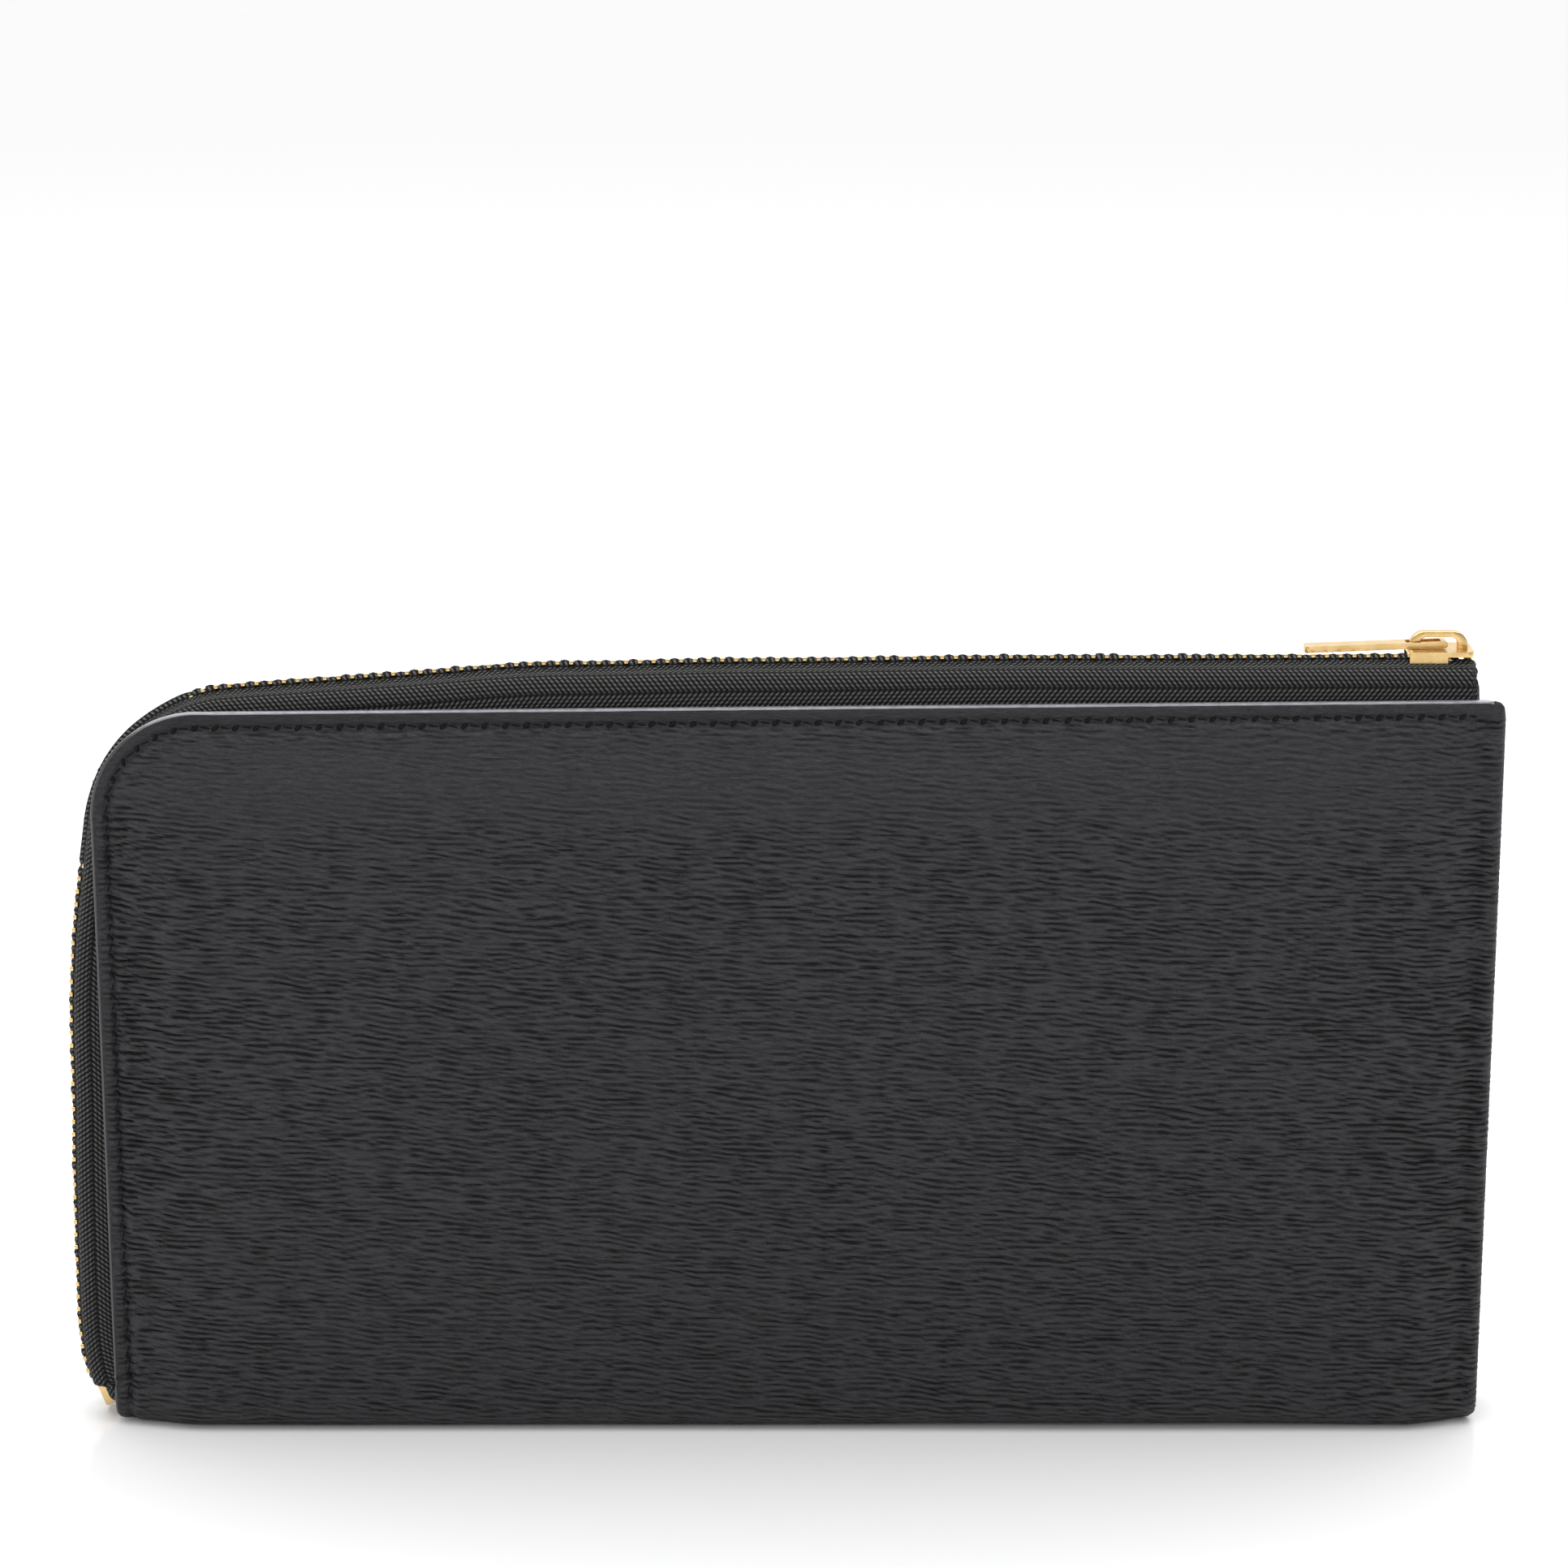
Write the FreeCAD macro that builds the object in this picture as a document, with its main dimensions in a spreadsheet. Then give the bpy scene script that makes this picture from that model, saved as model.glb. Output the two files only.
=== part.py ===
"""Zip around wallet: a long leather wallet with an L-shaped zip over its top and left side.

Frame: +X to the right along the wallet, +Z up, -Y towards the front panel. x = 0 is the middle of the
leather panels, y = 0 is the plane of the zip chain, and z = 0 is the flat of the bottom fold, which the
wallet stands on. Millimetres.
"""
import FreeCAD, Part
import math
import os

import Sketcher
from FreeCAD import Placement, Rotation, Vector

os.makedirs("parts", exist_ok=True)

# ---------------------------------------------------------------------------------------------------
# Driving dimensions
# ---------------------------------------------------------------------------------------------------
DIMENSIONS = [
    ("panel_left", -96.0, "left edge of the leather panels"),
    ("panel_right", 96.2, "right edge of the leather panels"),
    ("panel_top_left", 103.8, "height of the top edge at its left end"),
    ("panel_top_right", 105.6, "height of the top edge at its right end"),
    ("corner_radius", 14.5, "rounded top left corner, which the zip follows"),
    ("square_corner_radius", 2.5, "nearly square top right corner"),
    ("edge_depth", 6.9, "half thickness of the wallet at its zipped edge"),
    ("middle_depth", 9.5, "half thickness of the wallet in its middle"),
    ("border_width", 4.5, "flat border that the stitching runs in"),
    ("slope_width", 3.8, "width of the step up from the border to the padded middle"),
    ("front_leather_low", 6.0, "lower end of the swinging front leather"),
    ("back_leather_low", 4.0, "lower end of the back leather, where the bottom bend begins"),
    ("leather_thick", 1.2, "outer leather"),
    ("bend_radius", 4.0, "outer radius of the two bends of the bottom fold"),
    ("bottom_half_length", 87.5, "half length of the bottom fold's full section"),
    ("front_bend_angle", 60.0, "part of the front bend that stays with the bottom"),
    ("lining_start", 2.0, "how far the lining lies behind the leather's outer face"),
    ("lining_thick", 0.45, "lining"),
    ("lining_inset", 0.5, "lining's edge inside the leather's edge"),
    ("lining_low", 7.0, "lower end of both linings"),
    ("board_start", 1.25, "how far the stiffener board lies behind the leather's outer face"),
    ("board_thick", 0.7, "stiffener board"),
    ("board_inset", 9.5, "board's edge inside the panel's edge"),
    ("board_low", 8.0, "lower edge of both boards"),
    ("pocket_start", 2.5, "how far the first pocket lies behind the leather's outer face"),
    ("pocket_thick", 0.5, "one layer of pocket leather"),
    ("pocket_gap", 0.05, "air between two pocket layers"),
    ("pocket_inset", 8.4, "pockets' ends inside the panel's ends"),
    ("pocket_low", 8.0, "lower edge of the pockets"),
    ("pocket_top", 88.0, "top edge of the highest card pocket"),
    ("pocket_step", 12.0, "drop from one card pocket's top edge to the next"),
    ("slip_pocket_top", 80.0, "top edge of the slip pocket in the back half"),
    ("bottom_lining_low", 1.25, "underside of the lining strip on the bottom fold"),
    ("bottom_lining_half", 5.4, "half width of that strip"),
    ("gusset_near", 1.7, "inner face of a gusset leaf"),
    ("gusset_thick", 0.5, "gusset leaf"),
    ("gusset_left", 64.0, "fold of the gusset, inside the wallet"),
    ("gusset_right", 93.0, "edge of the gusset, at the side seam"),
    ("gusset_top", 97.0, "top of the gusset"),
    ("chain_start", 93.0, "right end of the zip tape"),
    ("chain_height", 109.7, "height of the chain's middle along the straight top run"),
    ("straight_run", 123.0, "straight run of the chain under the slider's travel"),
    ("droop_radius", 250.0, "gentle bend after the straight run"),
    ("droop_angle", 4.0, "turn of that bend"),
    ("droop_run", 30.6, "straight run before the corner"),
    ("chain_corner_radius", 21.5, "chain's bend round the corner"),
    ("chain_corner_angle", 80.85, "turn of that bend"),
    ("side_radius", 784.0, "very gentle bulge of the chain down the left side"),
    ("side_angle", 5.15, "turn of that bulge"),
    ("foot_radius", 40.0, "bend that brings the chain in under the wallet"),
    ("foot_angle", 24.0, "turn of that bend"),
    ("front_tape_low", 5.5, "lower end of the swinging front tape"),
    ("tape_overlap", 0.3, "how far the tapes reach past the flat border, into the step"),
    ("tape_thick", 0.5, "zip tape"),
    ("bead_near", 0.9, "inner side of the cord in the tape's edge"),
    ("bead_far", 1.6, "outer side of that cord"),
    ("bead_half", 0.45, "half height of that cord"),
    ("tape_shelf", 3.7, "distance from the chain's middle to where the tape turns down"),
    ("tape_bend", 1.7, "radius of that turn"),
    ("tape_depth", 9.2, "how far the tape reaches below the chain"),
    ("tooth_pitch", 1.87, "pitch of one row of teeth"),
    ("first_tooth", 0.3, "distance from the closed slider's middle to the first tooth"),
    ("last_tooth", 1.0, "height of the last tooth above its leather's or tape's lower end"),
    ("tooth_thick", 0.68, "thickness of a tooth along the chain"),
    ("tooth_tip", 0.45, "how far a tooth's head crosses the middle"),
    ("coin_tooth_gap", 0.55, "distance from the coin zip's middle to the end of its teeth"),
    ("tooth_leg_end", 2.4, "end of the legs that clamp the cord"),
    ("tooth_half_height", 0.95, "half height of a tooth over its legs"),
    ("head_half_height", 0.5, "half height of a tooth's head"),
    ("slider_place", 88.0, "middle of the closed slider along the chain"),
    ("slider_half_length", 4.4, "half length of a slider"),
    ("slider_half_width", 3.1, "half width of a slider"),
    ("slider_nose_radius", 0.9, "rounding of the slider's plates beside its mouth, seen from above"),
    ("slider_heel_radius", 0.45, "rounding of the slider's closed end, seen from the side"),
    ("slider_channel", 1.25, "half height of the slider's channel"),
    ("slider_plate", 0.7, "thickness of each slider plate"),
    ("flange_slit", 0.35, "half height of the slit that the tape runs through"),
    ("flange_thick", 0.5, "thickness of the slider's flanges"),
    ("flange_length", 5.2, "length of the flanges from the closed end"),
    ("neck_low", 3.2, "start of the neck that joins the plates"),
    ("neck_length", 1.0, "length of the neck"),
    ("neck_width", 0.8, "width of the neck"),
    ("neck_offset", 1.1, "neck's middle, on the swinging tape's side of the chain, clear of the fixed teeth"),
    ("bail_left", -4.2, "left end of the bail"),
    ("bail_right", 3.8, "right end of the bail"),
    ("bail_rise", 2.35, "height of the bail above the slider's top"),
    ("bail_strip", 0.8, "thickness of the bail over its window"),
    ("bail_leg", 1.4, "thickness of the bail's legs"),
    ("bail_half_width", 0.65, "half width of the bail"),
    ("bail_shoulder", 0.3, "straight part of the bail's legs below its rounded crown"),
    ("bail_window_radius", 1.0, "rounding of the bail's window"),
    ("pivot_place", 0.55, "pull tab's pivot along the slider"),
    ("pivot_height", 2.58, "pull tab's pivot above the chain's middle"),
    ("pull_length", 19.5, "length of the pull tab"),
    ("pull_half_width", 1.25, "half width of the pull tab"),
    ("pull_thick", 0.85, "thickness of the pull tab"),
    ("pull_slot_half_width", 0.8, "half width of the slot for the bail"),
    ("pull_slot_start", 0.45, "slot's near end from the pivot"),
    ("pull_slot_end", 5.2, "slot's far end from the pivot"),
    ("pull_tilt", 2.2, "slope of the pull tab as it lies on the chain"),
    ("pull_tail_radius", 0.6, "rounding of the pull tab's free corners"),
    ("coin_left", -84.0, "left side of the coin pocket"),
    ("coin_right", 60.0, "right side of the coin pocket"),
    ("coin_low", 5.0, "bottom of the coin pocket"),
    ("coin_top", 92.0, "top of the coin pocket"),
    ("coin_wall", 0.5, "thickness of the coin pocket's walls"),
    ("coin_front_face", -0.6, "front face of the coin pocket"),
    ("coin_back_near", 1.7, "inner face of the coin pocket's back wall"),
    ("coin_zip_height", 80.0, "height of the coin pocket's chain"),
    ("coin_tape_width", 8.1, "width of the coin zip's tapes outside their cords"),
    ("coin_chain_left", -77.0, "left end of the coin zip's teeth"),
    ("coin_slider_place", 50.0, "middle of the closed coin slider"),
    ("coin_pull_length", 12.0, "length of the coin zip's pull tab"),
    ("stop_gap", 0.9, "distance from a slider's middle to the stop in its mouth"),
    ("stop_length", 1.5, "length of a top stop along the chain"),
    ("stop_clear", 0.2, "distance from a top stop to the cord's cut end"),
    ("bottom_stop_length", 3.4, "length of the bottom stop along the chain"),
    ("stop_wall", 0.3, "how far a stop stands out around the cords"),
]

doc = FreeCAD.newDocument("zip_around_wallet")
sheet = doc.addObject("Spreadsheet::Sheet", "Sizes")
for row, (alias, value, meaning) in enumerate(DIMENSIONS, start=1):
    sheet.set("A%d" % row, meaning)
    sheet.set("B%d" % row, str(value))
    sheet.setAlias("B%d" % row, alias)
doc.recompute()

NODES = []
FRONT = -1
BACK = 1


def size(alias):
    """A driving dimension, as a number."""
    return float(sheet.get(alias))


def in_sheet(formula):
    """A formula in the sheet's words, as an expression that an object of the document can hold."""
    words = sorted((row[0] for row in DIMENSIONS), key=len, reverse=True)
    out = []
    place = 0
    while place < len(formula):
        word = next((w for w in words if formula.startswith(w, place)), None)
        out.append("Sizes." + word if word else formula[place])
        place += len(word) if word else 1
    return "".join(out)


def value_of(formula):
    """The number that a formula in the sheet's words gives now."""
    return float(sheet.evalExpression(in_sheet(formula)))


def keep(feature, node):
    """Count a finished object as a sub-part of the wallet."""
    feature.Label = node
    NODES.append(feature)
    return feature


def keep_shape(node, shape):
    """A sub-part whose shape is worked out by Part's own functions."""
    place = shape.Placement
    feature = doc.addObject("Part::Feature", node)
    feature.Shape = shape
    feature.Placement = place
    return keep(feature, node)


# ---------------------------------------------------------------------------------------------------
# Bodies made of padded rectangles
# ---------------------------------------------------------------------------------------------------
def add_sketch(body, tag, role, offset, rectangle):
    """A rectangle on one of the body's own planes; the offset runs along the plane's normal."""
    sketch = body.newObject("Sketcher::SketchObject", body.Name + "_" + tag)
    plane = next(f for f in body.Origin.OriginFeatures if f.Role == role)
    sketch.AttachmentSupport = [(plane, "")]
    sketch.MapMode = "FlatFace"
    sketch.setExpression(".AttachmentOffset.Base.z", in_sheet(offset))
    left, right, low, high = [value_of(side) for side in rectangle]
    corners = [Vector(left, low, 0), Vector(right, low, 0), Vector(right, high, 0), Vector(left, high, 0)]
    for index in range(4):
        sketch.addGeometry(Part.LineSegment(corners[index], corners[(index + 1) % 4]), False)
    for index in range(4):
        sketch.addConstraint(Sketcher.Constraint("Coincident", index, 2, (index + 1) % 4, 1))
    for index in (0, 2):
        sketch.addConstraint(Sketcher.Constraint("Horizontal", index))
        sketch.addConstraint(Sketcher.Constraint("Vertical", index + 1))
    sides = [("left", "DistanceX", 0, left), ("low", "DistanceY", 0, low),
             ("right", "DistanceX", 2, right), ("high", "DistanceY", 2, high)]
    for name, kind, line, place in sides:
        number = sketch.addConstraint(Sketcher.Constraint(kind, -1, 1, line, 1, place))
        sketch.renameConstraint(number, name)
    for name, formula in zip(("left", "right", "low", "high"), rectangle):
        sketch.setExpression("Constraints." + name, in_sheet(formula))
    return sketch


def add_pad(body, tag, role, offset, rectangle, length):
    """A block: a rectangle, pushed along its plane's normal."""
    pad = body.newObject("PartDesign::Pad", body.Name + "_" + tag + "_pad")
    pad.Profile = add_sketch(body, tag, role, offset, rectangle)
    pad.setExpression("Length", in_sheet(length))
    return pad


def add_slot(body, tag, role, offset, rectangle, length):
    """A rectangular cut through the body, pushed along its plane's normal."""
    pocket = body.newObject("PartDesign::Pocket", body.Name + "_" + tag + "_cut")
    pocket.Profile = add_sketch(body, tag, role, offset, rectangle)
    pocket.Reversed = True
    pocket.setExpression("Length", in_sheet(length))
    before = body.Shape.Volume
    doc.recompute()
    if pocket.Shape.Volume >= before:
        raise ValueError("%s cuts nothing" % pocket.Name)
    return pocket


def round_edges(body, tag, radius, chosen):
    """Round the edges of the body's last feature that the test picks by middle point and direction."""
    doc.recompute()
    base = body.Tip
    names = []
    for number, edge in enumerate(base.Shape.Edges, start=1):
        if len(edge.Vertexes) < 2:
            continue
        start, end = [vertex.Point for vertex in edge.Vertexes]
        if chosen((start + end) * 0.5, (end - start).normalize()):
            names.append("Edge%d" % number)
    if not names:
        raise ValueError("%s finds no edge to round" % tag)
    fillet = body.newObject("PartDesign::Fillet", body.Name + "_" + tag)
    fillet.Base = (base, names)
    fillet.setExpression("Radius", radius)
    doc.recompute()
    return fillet


def plate(node, left, right, low, high, near, thick, rounded=None, radius="1"):
    """A flat sheet that stands in the XZ plane, from y = near to y = near + thick."""
    body = doc.addObject("PartDesign::Body", node)
    add_pad(body, "outline", "XZ_Plane", "-(%s + %s)" % (near, thick), (left, right, low, high), thick)
    doc.recompute()
    if rounded:
        round_edges(body, "corners", radius, lambda middle, run: abs(run.y) > 0.99 and rounded(middle))
    return keep(body, node)


def depth_behind(side, start, thick):
    """Where a flat layer behind the padded middle begins in y, for the front or the back half."""
    if side == FRONT:
        return "-(middle_depth - %s)" % start
    return "middle_depth - %s - %s" % (start, thick)


# ---------------------------------------------------------------------------------------------------
# Outer leather and lining: trays with a flat border and a raised, padded middle
# ---------------------------------------------------------------------------------------------------
def rounded_wire(corners, radii):
    """Closed wire through corners in one plane, each rounded by its own radius."""
    spans = []
    count = len(corners)
    for index, radius in enumerate(radii):
        corner = corners[index]
        back = (corners[index - 1] - corner).normalize()
        ahead = (corners[(index + 1) % count] - corner).normalize()
        half = back.getAngle(ahead) / 2.0
        bisector = (back + ahead).normalize()
        centre = corner + bisector * (radius / math.sin(half))
        spans.append((corner + back * (radius / math.tan(half)), centre - bisector * radius,
                      corner + ahead * (radius / math.tan(half))))
    edges = []
    for index, (start, middle, end) in enumerate(spans):
        edges.append(Part.Arc(start, middle, end).toShape())
        edges.append(Part.LineSegment(end, spans[(index + 1) % count][0]).toShape())
    return Part.Wire(edges)


def panel_wire(inset, low, depth):
    """Panel outline, moved in from its left, top and right edges, at a depth from the chain's plane."""
    left = size("panel_left") + inset
    right = size("panel_right") - inset
    corners = [Vector(left, depth, low), Vector(left, depth, size("panel_top_left") - inset),
               Vector(right, depth, size("panel_top_right") - inset), Vector(right, depth, low)]
    least = 0.4
    radii = [least, max(size("corner_radius") - inset, least),
             max(size("square_corner_radius") - inset, least), least]
    return rounded_wire(corners, radii)


def padded_solid(behind, low, edge_inset):
    """Everything between y = 0 and the padded surface that lies a distance behind the leather's face."""
    border_depth = size("edge_depth") - behind
    middle_depth = size("middle_depth") - behind
    border = Part.Face(panel_wire(edge_inset, low, 0.0)).extrude(Vector(0, border_depth, 0))
    rise = [panel_wire(size("border_width"), low, border_depth),
            panel_wire(size("border_width") + size("slope_width"), low, middle_depth)]
    return border.fuse(Part.makeLoft(rise, True, True)).removeSplitter()


def tray(node, side, start, thick, low, edge_inset):
    """A sheet that follows the padded surface over the whole panel."""
    past = 1.0  # the inner block reaches past the sheet's rim, so that the cut leaves no skin
    outer = padded_solid(start, low, edge_inset)
    inner = padded_solid(start + thick, low - past, edge_inset - past)
    shape = outer.cut(inner)
    if side == FRONT:
        shape = shape.mirror(Vector(0, 0, 0), Vector(0, 1, 0))
    return keep_shape(node, shape)


def outer_leather():
    """Front and back leather panels."""
    thick = size("leather_thick")
    tray("front_leather", FRONT, 0.0, thick, size("front_leather_low"), 0.0)
    tray("back_leather", BACK, 0.0, thick, size("back_leather_low"), 0.0)


def linings():
    """Front and back linings."""
    for node, side in (("front_lining", FRONT), ("back_lining", BACK)):
        tray(node, side, size("lining_start"), size("lining_thick"), size("lining_low"), size("lining_inset"))


def bottom_leather():
    """The fold under the wallet: a flat sole with a bend up to each panel.

    The back bend is a full quarter turn. The front bend stops short, so the front leather can swing.
    """
    outer = size("bend_radius")
    inner = outer - size("leather_thick")
    half_length = size("bottom_half_length")
    sole_half = size("middle_depth") - outer
    sole = Part.makeBox(2 * half_length, 2 * sole_half, outer - inner, Vector(-half_length, -sole_half, 0))
    shape = sole
    for side, angle in ((FRONT, size("front_bend_angle")), (BACK, 90.0)):
        centre = Vector(-half_length, side * sole_half, outer)
        section = Part.Face(Part.makePolygon([Vector(-half_length, side * sole_half, 0),
                                              Vector(-half_length, side * sole_half, outer - inner),
                                              Vector(half_length, side * sole_half, outer - inner),
                                              Vector(half_length, side * sole_half, 0),
                                              Vector(-half_length, side * sole_half, 0)]))
        shape = shape.fuse(section.revolve(centre, Vector(side, 0, 0), angle))
    keep_shape("bottom_leather", shape.removeSplitter())


def bottom_lining():
    """Lining strip over the bottom fold."""
    body = doc.addObject("PartDesign::Body", "bottom_lining")
    edges = ("-bottom_half_length", "bottom_half_length", "-bottom_lining_half", "bottom_lining_half")
    add_pad(body, "outline", "XY_Plane", "bottom_lining_low", edges, "lining_thick")
    keep(body, "bottom_lining")


# ---------------------------------------------------------------------------------------------------
# Flat layers inside each half
# ---------------------------------------------------------------------------------------------------
def boards():
    """Stiffener boards, rounded at the corner that the zip goes round."""
    for node, side in (("front_board", FRONT), ("back_board", BACK)):
        plate(node, "panel_left + board_inset", "panel_right - board_inset",
              "board_low", "panel_top_left - board_inset",
              depth_behind(side, "board_start", "board_thick"), "board_thick",
              lambda middle: middle.x < 0 and middle.z > 50, in_sheet("corner_radius - board_inset"))


def card_pockets():
    """Four stepped strips on the front half, the one nearest the lining standing highest."""
    for number in range(4):
        start = "(pocket_start + %d * (pocket_thick + pocket_gap))" % number
        plate("card_pocket_%d" % (number + 1), "panel_left + pocket_inset", "panel_right - pocket_inset",
              "pocket_low", "pocket_top - %d * pocket_step" % number,
              depth_behind(FRONT, start, "pocket_thick"), "pocket_thick")


def slip_pocket():
    """One tall pocket over the whole back half."""
    plate("slip_pocket", "panel_left + pocket_inset", "panel_right - pocket_inset",
          "pocket_low", "slip_pocket_top", depth_behind(BACK, "pocket_start", "pocket_thick"), "pocket_thick")


def gusset_leaves():
    """The two leaves of the side gusset, folded inwards, each with a return out to its side seam."""
    seam = "edge_depth - lining_start - lining_thick"
    for node, side in (("front_gusset_leaf", FRONT), ("back_gusset_leaf", BACK)):
        near = "gusset_near" if side == BACK else "-(gusset_near + gusset_thick)"
        plate(node, "gusset_left", "gusset_right", "pocket_low", "gusset_top", near, "gusset_thick")
        low = "gusset_near" if side == BACK else "-(%s)" % seam
        outline = ("gusset_right - gusset_thick", "gusset_right", "pocket_low", "gusset_top")
        add_pad(NODES[-1], "return", "XZ_Plane", "-(%s + %s - gusset_near)" % (low, seam), outline,
                seam + " - gusset_near")


# ---------------------------------------------------------------------------------------------------
# The chain's path: straight over the top, round the corner, down the side and in under the wallet
# ---------------------------------------------------------------------------------------------------
def chain_runs():
    """Each run of the path from its right end: its length, and its radius where it bends."""
    runs = [(size("straight_run"), None)]
    bends = [("droop_angle", "droop_radius"), ("chain_corner_angle", "chain_corner_radius"),
             ("side_angle", "side_radius"), ("foot_angle", "foot_radius")]
    for angle, radius in bends:
        runs.append((math.radians(size(angle)) * size(radius), size(radius)))
        if angle == "droop_angle":
            runs.append((size("droop_run"), None))
    return runs


def step_along(place, heading, length, radius):
    """Where a straight or bent run ends: its point in XZ, and its heading in radians."""
    x, z = place
    if radius is None:
        return (x + length * math.cos(heading), z + length * math.sin(heading)), heading
    turned = heading + length / radius
    centre = (x - radius * math.sin(heading), z + radius * math.cos(heading))
    return (centre[0] + radius * math.sin(turned), centre[1] - radius * math.cos(turned)), turned


def chain_point(distance):
    """Point and heading at a distance along the chain from its right end."""
    place = (size("chain_start"), size("chain_height"))
    heading = math.pi
    for length, radius in chain_runs():
        here = min(distance, length)
        place, heading = step_along(place, heading, here, radius)
        distance -= here
        if distance <= 0:
            break
    return place, heading


def on_chain(shape, distance):
    """Move a shape made at the origin of a chain that runs along X to its place on the real path."""
    (x, z), heading = chain_point(distance)
    turn = Rotation(Vector(0, -1, 0), math.degrees(heading - math.pi))
    moved = shape.copy()
    moved.Placement = Placement(Vector(x, 0, z), turn).multiply(shape.Placement)
    return moved


def chain_distance_at(height):
    """Distance along the chain to the point on its left side that has this height."""
    halvings = 40
    low, high = size("straight_run"), sum(length for length, _ in chain_runs())
    for _ in range(halvings):
        middle = (low + high) / 2.0
        if chain_point(middle)[0][1] > height:
            low = middle
        else:
            high = middle
    return low


def tape_section(side):
    """The tape's section: a square cord, a shelf beside it, and a turn down into the wallet."""
    half = size("tape_thick") / 2.0
    near, far, bead = size("bead_near"), size("bead_far"), size("bead_half")
    shelf, bend, deep = size("tape_shelf"), size("tape_bend"), -size("tape_depth")

    def at(out, up):
        return Vector(0, side * out, up)

    def bent(radius):
        slant = radius * math.sqrt(0.5)
        return Part.Arc(at(shelf, radius - bend), at(shelf + slant, slant - bend), at(shelf + radius, -bend))

    upper = [at(shelf, half), at(far, half), at(far, bead), at(near, bead),
             at(near, -bead), at(far, -bead), at(far, -half), at(shelf, -half)]
    edges = [Part.LineSegment(a, b).toShape() for a, b in zip(upper, upper[1:])]
    edges.append(bent(bend - half).toShape())
    lower = [at(shelf + bend - half, -bend), at(shelf + bend - half, deep),
             at(shelf + bend + half, deep), at(shelf + bend + half, -bend)]
    edges += [Part.LineSegment(a, b).toShape() for a, b in zip(lower, lower[1:])]
    edges.append(bent(bend + half).toShape())
    return Part.Face(Part.Wire(Part.__sortEdges__(edges)))


def swept_along_chain(face, end):
    """Carry a section from the chain's right end to a distance along it."""
    parts = []
    done = 0.0
    for length, radius in chain_runs():
        length = min(length, end - done)
        if length <= 0:
            break
        (x, z), heading = chain_point(done)
        here = on_chain(face, done)
        if radius is None:
            parts.append(here.extrude(Vector(math.cos(heading) * length, 0, math.sin(heading) * length)))
        else:
            centre = Vector(x - radius * math.sin(heading), 0, z + radius * math.cos(heading))
            parts.append(here.revolve(centre, Vector(0, -1, 0), math.degrees(length / radius)))
        done += length
    return parts[0].fuse(parts[1:]).removeSplitter()


def zip_tapes():
    """The two tapes, turned down between leather and lining and ending inside the flat border.

    Their cords end at the top stops, which leaves room for the slider's neck.
    """
    whole = sum(length for length, _ in chain_runs())
    ends = {"front_zip_tape": (FRONT, chain_distance_at(size("front_tape_low"))),
            "back_zip_tape": (BACK, whole)}
    depth = size("middle_depth")
    inset = size("border_width") - size("tape_overlap")
    middle = Part.Face(panel_wire(inset, -size("bend_radius"), -depth))
    padding = middle.extrude(Vector(0, 2 * depth, 0))
    cord_end = size("slider_place") + size("stop_gap") + size("stop_length") + size("stop_clear")
    cord = Part.makeBox(size("chain_start") - cord_end, 2 * size("bead_far"), 2 * size("bead_half"),
                        Vector(cord_end, -size("bead_far"), size("chain_height") - size("bead_half")))
    for node, (side, end) in ends.items():
        keep_shape(node, swept_along_chain(tape_section(side), end).cut([padding, cord]))


# ---------------------------------------------------------------------------------------------------
# Teeth and stops
# ---------------------------------------------------------------------------------------------------
def prism(corners, low, high):
    """A solid with this section in the YZ plane, from x = low to x = high."""
    points = [Vector(low, y, z) for y, z in corners]
    return Part.Face(Part.makePolygon(points + points[:1])).extrude(Vector(high - low, 0, 0))


def tooth(side, tip):
    """One tooth: a head that crosses the middle by its tip, and two legs that clamp the tape's cord."""
    clear = 0.02
    end = size("tooth_leg_end")
    tall, head = size("tooth_half_height"), size("head_half_height")
    near, grip = size("bead_near") - clear, size("bead_half") + clear
    upper = [(-tip, head), (near - (tall - head), head), (near, tall), (end, tall), (end, grip), (near, grip)]
    lower = [(y, -z) for y, z in reversed(upper)]
    thick = size("tooth_thick")
    return prism([(side * y, z) for y, z in upper + lower], -thick / 2.0, thick / 2.0)


def zip_teeth():
    """Both rows of teeth, half a pitch apart, so that they mesh."""
    pitch = size("tooth_pitch")
    first = size("chain_start") - size("slider_place") - size("first_tooth")
    ends = {"front_zip_teeth": (FRONT, 0.5, size("front_tape_low") + size("last_tooth")),
            "back_zip_teeth": (BACK, 0.0, size("back_leather_low") + size("last_tooth"))}
    for node, (side, shift, low) in ends.items():
        pattern = tooth(side, size("tooth_tip"))
        last = chain_distance_at(low)
        count = int((last - first) / pitch)
        teeth = [on_chain(pattern, first + (number + shift) * pitch) for number in range(count)]
        keep_shape(node, Part.makeCompound(teeth))


def stop_block(side, length):
    """A metal clip over one tape's cord, as long as asked, starting at x = 0."""
    wall = size("stop_wall")
    near, far, bead = size("bead_near") - wall, size("tooth_leg_end"), size("bead_half")
    upper = [(near, bead + wall), (far, bead + wall), (far, bead), (near + wall, bead)]
    lower = [(y, -z) for y, z in reversed(upper)]
    return prism([(side * y, z) for y, z in upper + lower], 0.0, length)


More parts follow.
